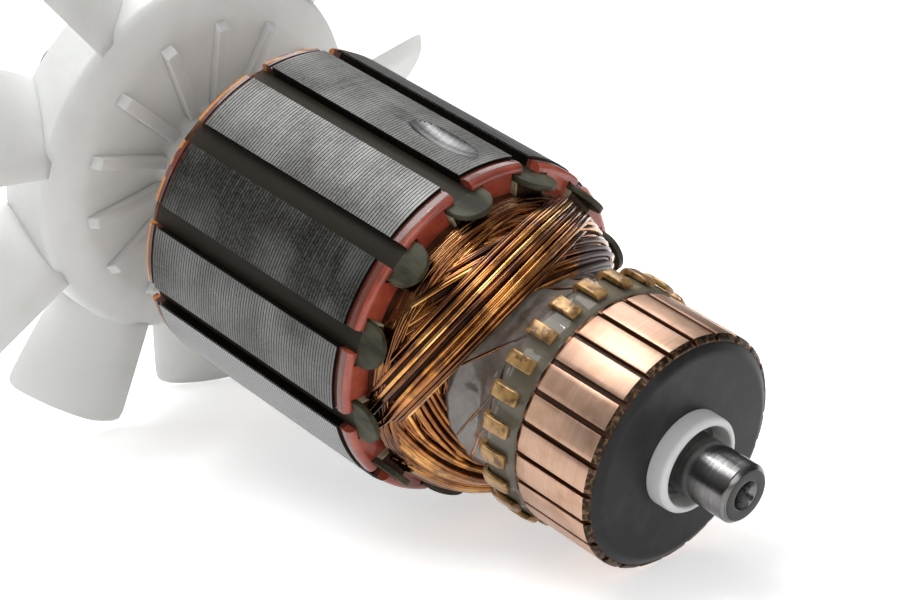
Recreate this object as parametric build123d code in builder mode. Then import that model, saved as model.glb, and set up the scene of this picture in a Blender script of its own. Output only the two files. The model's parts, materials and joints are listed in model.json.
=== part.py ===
"""Wound armature of a small universal motor, lying on two fan blades and the commutator's edge.

Millimetres. Stations run along the shaft from the core's commutator-end face, positive towards
the commutator. Turns run round the shaft from the tooth with the balancing notch. The origin is the
middle of the commutator-end bearing journal, +Z is up, and the shaft dips towards +X.
"""

from build123d import *
from math import atan, cos, degrees, radians, sin, tan
import os

# Shaft
shaft_diameter = 10.0
journal_diameter = 8.0
journal_length = 10.1
journal_sink = 2.6
drive_journal_diameter = 9.0
drive_journal_length = 11.5
bearing_shoulder_reach = 0.7
drive_diameter = 8.0
drive_length = 14.0
shaft_chamfer = 0.6
centre_hole_diameter = 2.2
centre_hole_depth = 4.0
centre_mouth_diameter = 4.0
centre_mouth_angle = 60.0

# Insulating tube between the shaft and all that it carries
tube_diameter = 13.1
tube_reach = 2.7
tube_mouth_diameter = 11.0
tube_mouth_depth = 3.6
tube_lip_chamfer = 0.6

# Laminated core
core_diameter = 47.4
core_length = 37.0
slot_count = 12
slot_opening = 3.2
slot_lip = 1.5
slot_floor_radius = 12.0
tooth_width = 5.0
notch_station = -8.0
notch_depth = 1.1
notch_cutter_reach = 17.0
notch_cutter_radius = 2.4

# Moulded end plates
plate_thickness = 2.3
plate_chamfer = 0.9
plate_setback = 0.25
plate_step_thickness = 0.7
plate_step_depth = 0.2

# Slot liners and wedges
liner_thickness = 0.3
liner_overhang = 0.8
wedge_thickness = 0.9
wedge_reach = 6.2
wedge_rear_reach = 1.8
wedge_side_gap = 0.15

# Winding heads; the fan's end has the flatter one
coil_span_slots = 5
bundle_levels = 4
bundle_width = 6.6
bundle_thickness = 3.6
bundle_crest_width = 3.4
bundle_foot_station = 3.4
low_bundle_radius = 13.8
low_bundle_station = 9.9
high_bundle_radius = 16.6
high_bundle_station = 13.4
rear_low_bundle_radius = 13.4
rear_low_bundle_station = 6.0
rear_high_bundle_radius = 15.2
rear_high_bundle_station = 8.0
high_bundle_turn = 30.0
head_wall = 0.65
head_wedge_gap = 1.1
head_face_radius = 13.4
head_shoulder_station = 6.0
head_face_station = 11.8
rear_shoulder_station = 4.6
rear_face_station = 8.2

# Commutator
bar_count = 24
bar_gap = 0.7
commutator_rear = 18.6
commutator_length = 19.8
track_diameter = 32.2
riser_setback = 1.6
riser_length = 5.4
riser_step = 0.4
bar_front_setback = 0.8
bar_front_chamfer = 0.6
bar_ledge_depth = 1.2
bar_foot_depth = 2.9
bar_foot_inset = 2.4
gap_fill_drop = 0.8
rim_slope_width = 1.2
hook_overhang = 0.6
hook_width = 1.9
hook_thickness = 0.8
hook_throat = 0.75
hook_length = 4.6

# Cured resin between the winding head and the commutator
resin_waist_radius = 13.3
resin_shoulder_gap = 0.6
resin_slope_length = 3.0
resin_collar_height = 0.55
resin_collar_setback = 0.7

# Fan
fan_standoff = 20.0
fan_depth = 8.8
fan_diameter = 86.2
fan_tip_chamfer = 1.0
fan_hub_diameter = 55.0
fan_rim_wall = 1.8
fan_rim_chamfer = 0.7
fan_web = 1.8
fan_dish_rise = 2.0
fan_dish_radius = 21.5
fan_boss_diameter = 18.0
fan_boss_rise = 6.0
front_rib_count = 14
front_rib_turn = 23.1
front_rib_width = 1.9
front_rib_rise = 1.2
front_rib_slope = 1.0
back_rib_width = 1.4
blade_count = 9
blade_turn = 2.0
blade_root_sweep = 25.3
blade_tip_sweep = 21.9
blade_front_width = 2.7
blade_back_width = 1.9
blade_camber = 0.8

# Clearances
press_gap = 0.02
seat_gap = 0.05

# How the loose armature lies
rest_roll = 1.6
rest_blade_angle = 16.4

# Radii and pitches that follow
shaft_radius = shaft_diameter / 2
tube_radius = tube_diameter / 2
seat_radius = tube_radius + press_gap
core_radius = core_diameter / 2
slot_top = core_radius - slot_lip
slot_pitch = 360 / slot_count
bundle_foot_radius = (slot_top + slot_floor_radius) / 2
head_inner_radius = tube_radius + head_wall
head_shoulder_radius = slot_top - wedge_thickness - head_wedge_gap
track_radius = track_diameter / 2
riser_radius = track_radius - riser_step
bar_ledge_radius = riser_radius - bar_ledge_depth
bar_foot_radius = bar_ledge_radius - bar_foot_depth
bar_pitch = 360 / bar_count
bar_arc = bar_pitch - degrees(bar_gap / track_radius)
moulding_radius = track_radius - gap_fill_drop
hook_top = riser_radius + hook_throat + hook_thickness
hook_bend = hook_throat / 2 + hook_thickness
hook_bottom = hook_top - 2 * hook_bend
fan_radius = fan_diameter / 2

# Stations that follow, from the core's commutator-end face
riser_rear = commutator_rear + riser_setback
track_rear = riser_rear + riser_length
hook_rear = riser_rear - hook_overhang
moulding_front = commutator_rear + commutator_length
bar_front = moulding_front - bar_front_setback
tube_front = moulding_front + tube_reach
journal_start = tube_front - journal_sink
journal_end = journal_start + journal_length
journal_middle = (journal_start + journal_end) / 2
fan_front = -core_length - fan_standoff
fan_back = fan_front - fan_depth
tube_rear = fan_front + fan_boss_rise
bearing_shoulder = fan_back - bearing_shoulder_reach
drive_shoulder = bearing_shoulder - drive_journal_length
drive_end = drive_shoulder - drive_length

# The shaft leans on a line from the fan's two lowest blade tips to the commutator's front edge
fan_drop = fan_radius * cos(radians(rest_blade_angle))
rest_tilt = degrees(atan((fan_drop - track_radius) / (bar_front - bar_front_chamfer - fan_front)))

shaft_direction = Vector(cos(radians(rest_tilt)), 0, -sin(radians(rest_tilt)))
upward = Vector(sin(radians(rest_tilt)), 0, cos(radians(rest_tilt)))
shaft_axis = Axis(origin=(0, 0, 0), direction=shaft_direction)


def shaft_point(station):
    """Point on the shaft's axis at a station."""
    return shaft_direction * (station - journal_middle)


def outward(turn):
    """Direction away from the shaft at a turn."""
    return upward.rotate(shaft_axis, turn + rest_roll)


def across(station, turn=0):
    """Plane square to the shaft, local x outward at the turn and local z towards the commutator."""
    return Plane(shaft_point(station), x_dir=outward(turn), z_dir=shaft_direction)


def lengthwise(turn=0):
    """Plane through the shaft's axis, local x the station and local y the radius at the turn."""
    side = shaft_direction.cross(outward(turn))
    return Plane(shaft_point(0), x_dir=shaft_direction, z_dir=side)


def facing(turn, radius):
    """Plane facing outward at the turn and radius, local x round the shaft and local y the station."""
    side = shaft_direction.cross(outward(turn))
    return Plane(shaft_point(0) + outward(turn) * radius, x_dir=side, z_dir=outward(turn))


def slot_half_width(radius, inset=0.0):
    """Half the width of a slot between parallel-sided teeth, less an inset from its walls."""
    half_pitch = radians(slot_pitch / 2)
    return radius * tan(half_pitch) - (tooth_width / 2 + inset) / cos(half_pitch)


def slot_outline(inset, top, floor):
    """Corners of a slot's body, drawn in the sketch of a polar pattern, local x outward."""
    wide = slot_half_width(top, inset)
    narrow = slot_half_width(floor, inset)
    return [(floor, -narrow), (top, -wide), (top, wide), (floor, narrow)]


def export(builder, name):
    """Labels a finished piece and writes it."""
    builder.part.label = name
    export_step(builder.part, f"parts/{name}.step")


def make_shaft():
    """Ground shaft with a bearing journal near each end and a plain drive end."""
    with BuildPart() as shaft:
        with BuildSketch(lengthwise()):
            with BuildLine():
                Polyline(
                    (drive_end, 0),
                    (drive_end, drive_diameter / 2),
                    (drive_shoulder, drive_diameter / 2),
                    (drive_shoulder, drive_journal_diameter / 2),
                    (bearing_shoulder, drive_journal_diameter / 2),
                    (bearing_shoulder, shaft_radius),
                    (journal_start, shaft_radius),
                    (journal_start, journal_diameter / 2),
                    (journal_end, journal_diameter / 2),
                    (journal_end, 0),
                    close=True,
                )
            make_face()
        revolve(axis=shaft_axis)
        end_rims = shaft.edges().filter_by(GeomType.CIRCLE).sort_by(shaft_axis)
        chamfer([end_rims[0], end_rims[-1]], shaft_chamfer)
        for end_plane in (across(journal_end), -across(drive_end)):
            with Locations(end_plane):
                CounterSinkHole(
                    radius=centre_hole_diameter / 2,
                    counter_sink_radius=centre_mouth_diameter / 2,
                    depth=centre_hole_depth,
                    counter_sink_angle=centre_mouth_angle,
                )
    export(shaft, "shaft")


def make_insulating_tube():
    """Nylon tube on the shaft, with a wider mouth at the commutator's face."""
    with BuildPart() as tube:
        with BuildSketch(lengthwise()):
            with BuildLine():
                Polyline(
                    (tube_rear, shaft_radius + press_gap),
                    (tube_rear, tube_radius),
                    (tube_front, tube_radius),
                    (tube_front, tube_mouth_diameter / 2),
                    (tube_front - tube_mouth_depth, tube_mouth_diameter / 2),
                    (tube_front - tube_mouth_depth, shaft_radius + press_gap),
                    close=True,
                )
            make_face()
        revolve(axis=shaft_axis)
        front_rims = tube.edges().filter_by(GeomType.CIRCLE).group_by(shaft_axis)[-1]
        chamfer(front_rims.sort_by(SortBy.RADIUS)[-1], tube_lip_chamfer)
    export(tube, "insulating_tube")


def core_face():
    """Outline of the core's teeth, in an open sketch square to the shaft."""
    Circle(core_radius)
    Circle(seat_radius, mode=Mode.SUBTRACT)
    with PolarLocations(0, slot_count, start_angle=slot_pitch / 2):
        Polygon(*slot_outline(0, slot_top, slot_floor_radius), align=None, mode=Mode.SUBTRACT)
        with Locations((core_radius, 0)):
            Rectangle(2 * slot_lip + seat_gap, slot_opening, mode=Mode.SUBTRACT)


def make_core():
    """Stack of laminations pressed on the tube, with a notch milled in one tooth for balance."""
    with BuildPart() as core:
        with BuildSketch(across(-core_length)):
            core_face()
        extrude(amount=core_length)
        cutter_radius = notch_cutter_reach + notch_cutter_radius
        with Locations(facing(0, core_radius - notch_depth + cutter_radius)):
            with Locations((0, notch_station)):
                Torus(notch_cutter_reach, notch_cutter_radius, rotation=(0, 90, 0), mode=Mode.SUBTRACT)
    export(core, "core")


def make_end_plates():
    """Moulded plates over both ends of the core, stepped at the laminations and bevelled outside."""
    plate_radius = core_radius - plate_setback
    with BuildPart() as front_plate:
        with BuildSketch(across(0)):
            core_face()
        extrude(amount=plate_thickness)
        with BuildSketch(lengthwise()):
            with BuildLine():
                Polyline(
                    (0, 0),
                    (0, plate_radius - plate_step_depth),
                    (plate_step_thickness, plate_radius - plate_step_depth),
                    (plate_step_thickness, plate_radius),
                    (plate_thickness - plate_chamfer, plate_radius),
                    (plate_thickness, plate_radius - plate_chamfer),
                    (plate_thickness, 0),
                    close=True,
                )
            make_face()
        revolve(axis=shaft_axis, mode=Mode.INTERSECT)
    export(front_plate, "front_end_plate")
    with BuildPart() as rear_plate:
        mirror(front_plate.part, about=across(-core_length / 2))
    export(rear_plate, "rear_end_plate")


def make_slot_liner(name, turn):
    """Folded insulating paper round three sides of a slot."""
    reach = plate_thickness + liner_overhang
    liner_top = slot_top - wedge_thickness - seat_gap
    with BuildPart() as liner:
        with BuildSketch(across(-core_length - reach, turn)):
            outer = slot_outline(seat_gap, liner_top, slot_floor_radius + seat_gap)
            inner = slot_outline(seat_gap + liner_thickness, liner_top, slot_floor_radius + liner_thickness)
            Polygon(*outer, align=None)
            Polygon(*inner, align=None, mode=Mode.SUBTRACT)
        extrude(amount=core_length + 2 * reach)
    export(liner, name)
    return liner.part


def make_slot_wedge(name, turn):
    """Flat fibre strip under the tooth tips, with a round tongue past the front end plate."""
    width = 2 * slot_half_width(slot_top - wedge_thickness, wedge_side_gap)
    tongue = wedge_reach - width / 2
    length = wedge_rear_reach + core_length + tongue
    with BuildPart() as wedge:
        with BuildSketch(facing(turn, slot_top - seat_gap)):
            with Locations((0, tongue)):
                Circle(width / 2)
                Rectangle(width, length, align=(Align.CENTER, Align.MAX))
        extrude(amount=-wedge_thickness + seat_gap)
    export(wedge, name)


def bundle_path(crown_station, crown_radius, mid_turn):
    """Ends and crown of the arc that a bundle follows from one slot to the slot of its coil."""
    half_span = coil_span_slots * slot_pitch / 2
    foot = shaft_point(bundle_foot_station)
    first = foot + outward(mid_turn - half_span) * bundle_foot_radius
    last = foot + outward(mid_turn + half_span) * bundle_foot_radius
    crown = shaft_point(crown_station) + outward(mid_turn) * crown_radius
    return first, crown, last


def make_head(liners, low_crown, high_crown, shoulder_station, face_station):
    """Winding head on the front plate: crossing bundles, each level's crown higher than the last."""
    head_seat = plate_thickness + seat_gap
    bundle_outline = [
        (0, -bundle_width / 2),
        (bundle_thickness / 2, -bundle_crest_width / 2),
        (bundle_thickness / 2, bundle_crest_width / 2),
        (0, bundle_width / 2),
        (-bundle_thickness / 2, bundle_crest_width / 2),
        (-bundle_thickness / 2, -bundle_crest_width / 2),
    ]
    with BuildPart() as head:
        with BuildSketch(lengthwise()):
            with BuildLine():
                Polyline(
                    (head_seat, head_inner_radius),
                    (head_seat, head_shoulder_radius),
                    (shoulder_station, head_shoulder_radius),
                    (face_station, head_face_radius),
                    (face_station, head_inner_radius),
                    close=True,
                )
            make_face()
        revolve(axis=shaft_axis)
        for level in range(bundle_levels):
            mid_turn = high_bundle_turn - (bundle_levels - 1 - level) * slot_pitch
            share = level / (bundle_levels - 1)
            crown_station, crown_radius = (
                low + share * (high - low) for low, high in zip(low_crown, high_crown)
            )
            for half_turn in (0, 180):
                first, crown, last = bundle_path(crown_station, crown_radius, mid_turn + half_turn)
                with BuildLine() as path:
                    ThreePointArc(first, crown, last)
                start = path.line @ 0
                section_plane = Plane(start, x_dir=crown - (first + last) / 2, z_dir=path.line % 0)
                with BuildSketch(section_plane):
                    Polygon(*bundle_outline, align=None)
                sweep(path=path.line)
        split(bisect_by=across(head_seat), keep=Keep.TOP)
        add(liners, mode=Mode.SUBTRACT)
    return head.part


def make_winding(liners):
    """All the coils as one mass: the sides in the slots and a head of crossing bundles at each end."""
    front_head = make_head(
        liners,
        (low_bundle_station, low_bundle_radius),
        (high_bundle_station, high_bundle_radius),
        head_shoulder_station,
        head_face_station,
    )
    rear_head = make_head(
        liners,
        (rear_low_bundle_station, rear_low_bundle_radius),
        (rear_high_bundle_station, rear_high_bundle_radius),
        rear_shoulder_station,
        rear_face_station,
    )
    with BuildPart() as winding:
        add(front_head)
        mirror(rear_head, about=across(-core_length / 2))
        fill_inset = 2 * seat_gap + liner_thickness
        fill_top = slot_top - wedge_thickness - 2 * seat_gap
        fill_reach = plate_thickness + liner_overhang + 2 * seat_gap
        with BuildSketch(across(-core_length - fill_reach)):
            with PolarLocations(0, slot_count, start_angle=slot_pitch / 2):
                Polygon(*slot_outline(fill_inset, fill_top, slot_floor_radius + fill_inset), align=None)
        extrude(amount=core_length + 2 * fill_reach)
    export(winding, "winding")
    return winding.part


def make_commutator_bar(name, turn):
    """Copper bar with an anchoring foot and a hook folded forward over its lead wires."""
    with BuildPart() as bar:
        with BuildSketch(lengthwise(turn - bar_arc / 2)):
            with BuildLine():
                Polyline(
                    (riser_rear, bar_ledge_radius),
                    (riser_rear, riser_radius),
                    (track_rear, riser_radius),
                    (track_rear, track_radius),
                    (bar_front - bar_front_chamfer, track_radius),
                    (bar_front, track_radius - bar_front_chamfer),
                    (bar_front, bar_ledge_radius),
                    (bar_front - bar_foot_inset, bar_ledge_radius),
                    (bar_front - bar_foot_inset, bar_foot_radius),
                    (riser_rear + bar_foot_inset, bar_foot_radius),
                    (riser_rear + bar_foot_inset, bar_ledge_radius),
                    close=True,
                )
            make_face()
        revolve(axis=shaft_axis, revolution_arc=bar_arc)
        with BuildSketch(lengthwise(turn)):
            with Locations((hook_rear + hook_bend, hook_bottom + hook_bend)):
                Circle(hook_bend)
                Rectangle(hook_length - hook_bend, 2 * hook_bend, align=(Align.MIN, Align.CENTER))
                Rectangle(hook_length, hook_throat, align=(Align.MIN, Align.CENTER), mode=Mode.SUBTRACT)
        extrude(amount=hook_width / 2, both=True)
    export(bar, name)
    return bar.part


def make_moulding(bars):
    """Black phenolic body that holds the bars, fills between them and covers their front ends."""
    with BuildPart() as moulding:
        with BuildSketch(lengthwise()):
            with BuildLine():
                Polyline(
                    (commutator_rear, seat_radius),
                    (commutator_rear, bar_ledge_radius - seat_gap),
                    (riser_rear, bar_ledge_radius - seat_gap),
                    (riser_rear, moulding_radius),
                    (bar_front, moulding_radius),
                    (moulding_front, moulding_radius - rim_slope_width),
                    (moulding_front, seat_radius),
                    close=True,
                )
            make_face()
        revolve(axis=shaft_axis)
        add(bars, mode=Mode.SUBTRACT)
    export(moulding, "commutator_moulding")


def make_resin(bars, winding):
    """Cured resin from the winding head up to the hooks, set round the coils and the bars' rear ends."""
    shoulder_radius = hook_bottom - seat_gap
    shoulder_station = hook_rear - resin_shoulder_gap
    collar_rear = hook_rear + hook_thickness / 2
    collar_front = track_rear - resin_collar_setback
    collar_radius = riser_radius + resin_collar_height
    with BuildPart() as resin:
        with BuildSketch(lengthwise()):
            with BuildLine():
                Polyline(
                    (head_face_station, seat_radius),
                    (head_face_station, resin_waist_radius - seat_gap),
                    (shoulder_station - resin_slope_length, resin_waist_radius),
                    (shoulder_station, shoulder_radius),
                    (collar_rear, shoulder_radius),
                    (collar_rear, collar_radius),
                    (collar_front, collar_radius),
                    (collar_front, riser_radius),
                    (riser_rear, riser_radius),
                    (riser_rear, bar_ledge_radius),
                    (commutator_rear, bar_ledge_radius),
                    (commutator_rear, seat_radius),
                    close=True,
                )
            make_face()
        revolve(axis=shaft_axis)
        add([*bars, winding], mode=Mode.SUBTRACT)
    export(resin, "binding_resin")


def make_fan():
    """Nylon fan: dished hub with ribs on both faces, and pitched blades round its rim."""
    hub_radius = fan_hub_diameter / 2
    boss_radius = fan_boss_diameter / 2
    bore_radius = shaft_radius + press_gap
    dish_front = fan_front + fan_dish_rise
    rib_front = dish_front + front_rib_rise
    rib_root = boss_radius - fan_rim_wall
    blade_root = hub_radius - fan_rim_wall / 2
    blade_tip = fan_radius + fan_tip_chamfer
    with BuildPart() as fan:
        with BuildSketch(lengthwise()):
            with BuildLine():
                Polyline(
                    (tube_rear, bore_radius),
                    (tube_rear, boss_radius),
                    (dish_front, boss_radius),
                    (dish_front, fan_dish_radius),
                    (fan_front, hub_radius - fan_rim_chamfer),
                    (fan_front - fan_rim_chamfer, hub_radius),
                    (fan_back, hub_radius),
                    (fan_back, hub_radius - fan_rim_wall),
                    (fan_front - fan_web, hub_radius - fan_rim_wall),
                    (dish_front - fan_web, fan_dish_radius),
                    (dish_front - fan_web, boss_radius),
                    (fan_back, boss_radius),
                    (fan_back, bore_radius),
                    close=True,
                )
            make_face()
        revolve(axis=shaft_axis)
        with BuildSketch(across(dish_front)):
            with PolarLocations(rib_root, front_rib_count, start_angle=front_rib_turn):
                Rectangle(fan_dish_radius - rib_root, front_rib_width, align=(Align.MIN, Align.CENTER))
        extrude(amount=front_rib_rise)
        with BuildSketch(across(fan_back)):
            with PolarLocations(rib_root, blade_count, start_angle=blade_turn):
                Rectangle(blade_root - rib_root, back_rib_width, align=(Align.MIN, Align.CENTER))
        extrude(amount=fan_front - fan_web - fan_back)
        belly = (fan_front + fan_back) / 2 + blade_camber
        for blade in range(blade_count):
            middle_turn = blade_turn - blade_tip_sweep / 2 + blade * 360 / blade_count
            for radius, sweep in ((blade_root, blade_root_sweep), (blade_tip, blade_tip_sweep)):
                front_edge = radius * tan(radians(blade_tip_sweep / 2))
                back_edge = -radius * tan(radians(sweep - blade_tip_sweep / 2))
                with BuildSketch(facing(middle_turn, radius)):
                    with BuildLine():
                        ThreePointArc(
                            (back_edge, fan_back),
                            ((back_edge + front_edge - blade_front_width) / 2, belly),
                            (front_edge - blade_front_width, fan_front),
                        )
                        Line((front_edge - blade_front_width, fan_front), (front_edge, fan_front))
                        ThreePointArc(
                            (front_edge, fan_front),
                            ((back_edge + front_edge + blade_back_width) / 2, belly),
                            (back_edge + blade_back_width, fan_back),
                        )
                        Line((back_edge + blade_back_width, fan_back), (back_edge, fan_back))
                    make_face()
            loft(ruled=True)
        with BuildSketch(lengthwise()):
            with BuildLine():
                Polyline(
                    (fan_back, bore_radius),
                    (fan_back, fan_radius - fan_tip_chamfer),
                    (fan_back + fan_tip_chamfer, fan_radius),
                    (fan_front - fan_tip_chamfer, fan_radius),
                    (fan_front, fan_radius - fan_tip_chamfer),
                    (fan_front, hub_radius - fan_rim_chamfer),
                    (dish_front, fan_dish_radius),
                    (rib_front, fan_dish_radius - front_rib_slope),
                    (rib_front, boss_radius),
                    (tube_rear, boss_radius),
                    (tube_rear, bore_radius),
                    close=True,
                )
            make_face()
        revolve(axis=shaft_axis, mode=Mode.INTERSECT)
    export(fan, "fan")


os.makedirs("parts", exist_ok=True)
make_shaft()
make_insulating_tube()
make_core()
make_end_plates()
slot_turns = [slot_pitch * (slot + 0.5) for slot in range(slot_count)]
slot_liners = [make_slot_liner(f"slot_liner_{slot:02d}", turn) for slot, turn in enumerate(slot_turns, 1)]
for slot, turn in enumerate(slot_turns, 1):
    make_slot_wedge(f"slot_wedge_{slot:02d}", turn)
winding_mass = make_winding(slot_liners)
bar_turns = [bar_pitch * (bar + 0.5) for bar in range(bar_count)]
copper_bars = [make_commutator_bar(f"commutator_bar_{bar:02d}", turn) for bar, turn in enumerate(bar_turns, 1)]
make_moulding(copper_bars)
make_resin(copper_bars, winding_mass)
make_fan()
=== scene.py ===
# %% [markdown]
# A wound motor armature lies on a pale floor: steel shaft, laminated core, varnished copper winding,
# copper commutator and a white nylon fan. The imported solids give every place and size. This lesson
# dresses them one by one, and each finish says what the real part is made of.

import json
from math import atan2, cos, degrees, pi, radians, sin, sqrt, tan
from random import Random

import bmesh
import bpy
from mathutils import Matrix, Vector, noise


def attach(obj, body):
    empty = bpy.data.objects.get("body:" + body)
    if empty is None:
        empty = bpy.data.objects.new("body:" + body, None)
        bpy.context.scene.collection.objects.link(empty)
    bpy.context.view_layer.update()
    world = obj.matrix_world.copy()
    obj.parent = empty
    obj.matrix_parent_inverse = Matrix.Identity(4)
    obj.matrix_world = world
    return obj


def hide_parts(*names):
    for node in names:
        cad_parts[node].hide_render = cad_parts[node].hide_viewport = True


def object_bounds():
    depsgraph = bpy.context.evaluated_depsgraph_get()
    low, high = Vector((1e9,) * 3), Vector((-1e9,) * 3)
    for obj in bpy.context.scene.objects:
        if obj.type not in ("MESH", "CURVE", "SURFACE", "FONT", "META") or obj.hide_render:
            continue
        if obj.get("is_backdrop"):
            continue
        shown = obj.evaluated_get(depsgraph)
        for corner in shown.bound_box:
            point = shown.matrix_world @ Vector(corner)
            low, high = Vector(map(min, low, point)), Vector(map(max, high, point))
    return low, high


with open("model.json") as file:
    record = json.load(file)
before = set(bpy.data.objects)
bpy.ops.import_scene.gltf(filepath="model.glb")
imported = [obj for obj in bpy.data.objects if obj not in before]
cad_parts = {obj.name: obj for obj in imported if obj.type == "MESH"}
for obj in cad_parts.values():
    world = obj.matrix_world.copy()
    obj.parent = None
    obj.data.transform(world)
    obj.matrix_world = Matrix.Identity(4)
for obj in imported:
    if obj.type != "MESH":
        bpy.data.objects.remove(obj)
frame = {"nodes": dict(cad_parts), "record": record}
size_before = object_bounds()
scene = bpy.context.scene
print("nodes", len(frame["nodes"]))

# %% [markdown]
# The shaft dips, so every piece could be drawn aslant in world metres. It is easier on a level bench
# in millimetres: x is the station along the shaft from the core's front face, and turns go round the
# shaft from the tooth with the notch. The mount on the front journal says where the bench stands.

# %% Set up the bench
journal = next(m for m in frame["record"]["mounts"] if m["name"] == "commutator_journal")
journal_station = 43.55
shaft_dip = atan2(-journal["axis"][2], journal["axis"][0])
rest_roll = radians(1.6)
bench_turn = Matrix.Rotation(shaft_dip, 4, "Y") @ Matrix.Rotation(rest_roll, 4, "X")
millimetre = 0.001
bench = (
    Matrix.Translation(journal["pos_m"])
    @ bench_turn
    @ Matrix.Scale(millimetre, 4)
    @ Matrix.Translation((-journal_station, 0, 0))
)


def around(turn):
    """Turn on the bench that brings a piece from the top round to this turn, in degrees."""
    return Matrix.Rotation(radians(turn), 4, "X")


def spot(station, radius, turn):
    """Point on the bench."""
    return Vector((station, -radius * sin(radians(turn)), radius * cos(radians(turn))))


print("shaft dips", round(degrees(shaft_dip), 2))

# %% [markdown]
# The finishes change with the place on the armature, so they need a few sizes of the CAD part, in
# the same words. Measuring them on the meshes would work too, but named sizes can be read. Every
# other size stands at the step that first uses it.

# %% Copy the sizes that the finishes need
journal_end = 48.6
core_radius, core_length, slot_count = 23.7, 37.0, 12
plate_radius, plate_step = 23.45, 0.7
bar_front, track_radius, ledge_radius = 37.6, 16.1, 14.5
print("core", core_length, "mm long and", 2 * core_radius, "mm across")

# %% [markdown]
# Every finish is a small tree of shader nodes. Joining them by hand in the editor is slow to repeat,
# so these helpers add one node at a time, and a finish below reads as a short recipe.

# %% Add nodes and fill their sockets
def fill(socket, value):
    """Joins a socket to an output, or gives it a steady value."""
    if isinstance(value, bpy.types.NodeSocket):
        socket.id_data.links.new(value, socket)
    else:
        socket.default_value = (*value, 1) if socket.type == "RGBA" else value


def feed(node, **sources):
    """Fills the named sockets of a node."""
    for key, value in sources.items():
        fill(node.inputs[key.replace("_", " ")], value)


def put(tree, kind, settings=None, **sources):
    """Adds a node, then sets its settings and fills its sockets."""
    node = tree.nodes.new(kind)
    for key, value in (settings or {}).items():
        setattr(node, key, value)
    feed(node, **sources)
    return node


print("steady values and joined outputs go in by socket name")

# %% [markdown]
# A mask, a stain or a worn edge is a sum on values that change over the surface. Every output knows
# its own node tree, so these helpers read like arithmetic and need not be told which tree it is.

# %% Do sums on outputs
def maths(operation, *values):
    """One sum on outputs and numbers."""
    tree = next(value.id_data for value in values if isinstance(value, bpy.types.NodeSocket))
    node = put(tree, "ShaderNodeMath", {"operation": operation})
    for socket, value in zip(node.inputs, values):
        fill(socket, value)
    return node.outputs[0]


def scaled(source, factor, shift):
    """The source times a factor, plus a shift."""
    return maths("MULTIPLY_ADD", source, factor, shift)


def over(source, limit):
    """One where the source is over a limit, else nought."""
    return maths("GREATER_THAN", source, limit)


def under(source, limit):
    """One where the source is under a limit, else nought."""
    return maths("LESS_THAN", source, limit)


def clamped(source):
    """The source kept between 0 and 1."""
    return put(source.id_data, "ShaderNodeClamp", Value=source).outputs[0]


def cloud(point, scale, detail):
    """Soft noise in the bench's millimetres."""
    noise_node = put(point.id_data, "ShaderNodeTexNoise", Vector=point, Scale=scale, Detail=detail)
    return noise_node.outputs["Fac"]


print("sums kept by name:", scaled.__name__, over.__name__, under.__name__, clamped.__name__)

# %% [markdown]
# No real surface is one flat colour. A ramp turns soft noise into tones, and a mix lays one colour
# over another where a mask says so, which covers all that these finishes need.

# %% Blend colours
def grey(level):
    """Neutral colour of one level."""
    return (level, level, level)


def ramp(factor, *stops):
    """Colour that follows a factor; each stop is a place and a colour."""
    node = put(factor.id_data, "ShaderNodeValToRGB", Fac=factor)
    elements = node.color_ramp.elements
    while len(elements) < len(stops):
        elements.new(1.0)
    for element, (place, colour) in zip(elements, stops):
        element.position = place
        element.color = (*colour, 1)
    return node.outputs[0]


def mix(factor, first, second, blend="MIX"):
    """Blend of two colours."""
    settings = {"data_type": "RGBA", "blend_type": blend}
    node = put(factor.id_data, "ShaderNodeMix", settings, Factor=factor)
    for socket, value in zip([s for s in node.inputs if s.type == "RGBA"], (first, second)):
        fill(socket, value)
    return next(s for s in node.outputs if s.type == "RGBA")


print("a neutral tone", grey(0.5))

# %% [markdown]
# Steel, copper, resin and nylon can all be one Principled shader. What is the same all over is set
# on its sockets, and only what changes over the surface is joined to them, so it exports well.

# %% Start a finish
def finish(name, colour, roughness, metallic=0.0, **fixed):
    """Material with one Principled shader, its steady values set on the sockets."""
    material = bpy.data.materials.new(name)
    material.use_nodes = True
    tree = material.node_tree
    shader = tree.nodes["Principled BSDF"]
    feed(shader, Base_Color=colour, Roughness=roughness, Metallic=metallic, **fixed)
    print("finish", name)
    return material, tree, shader


def bump(shader, height, strength, distance):
    """Fine relief that only the light sees."""
    node = put(height.id_data, "ShaderNodeBump", Strength=strength, Distance=distance, Height=height)
    feed(shader, Normal=node.outputs[0])


def group(tree, source, **sockets):
    """Places a shader group, sets its sockets and gives its outputs."""
    return put(tree, "ShaderNodeGroup", {"node_tree": source}, **sockets).outputs


print("finishes so far", len(bpy.data.materials))

# %% [markdown]
# An effect that several finishes share is a shader group with named sockets. Copying its nodes into
# each finish would work, but a later change would then have to be made a dozen times.

# %% Start a shader group
def shader_group(name, inputs, outputs):
    """Empty shader node group with named sockets; gives its tree, inlet and outlet."""
    tree = bpy.data.node_groups.new(name, "ShaderNodeTree")
    for word, start in inputs:
        socket = tree.interface.new_socket(word, in_out="INPUT", socket_type="NodeSocketFloat")
        socket.default_value = start
    for word, kind in outputs:
        tree.interface.new_socket(word, in_out="OUTPUT", socket_type=f"NodeSocket{kind}")
    return tree, put(tree, "NodeGroupInput").outputs, put(tree, "NodeGroupOutput")


print("a group starts with an inlet and an outlet")

# %% [markdown]
# Lamination lines run across the shaft, brushing runs round it and varnish pools on one side, so
# most finishes need to know where they are on the armature. An image unwrapped on each piece could
# say it, but one group that turns object coordinates into station, radius and turn serves them all.

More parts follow.
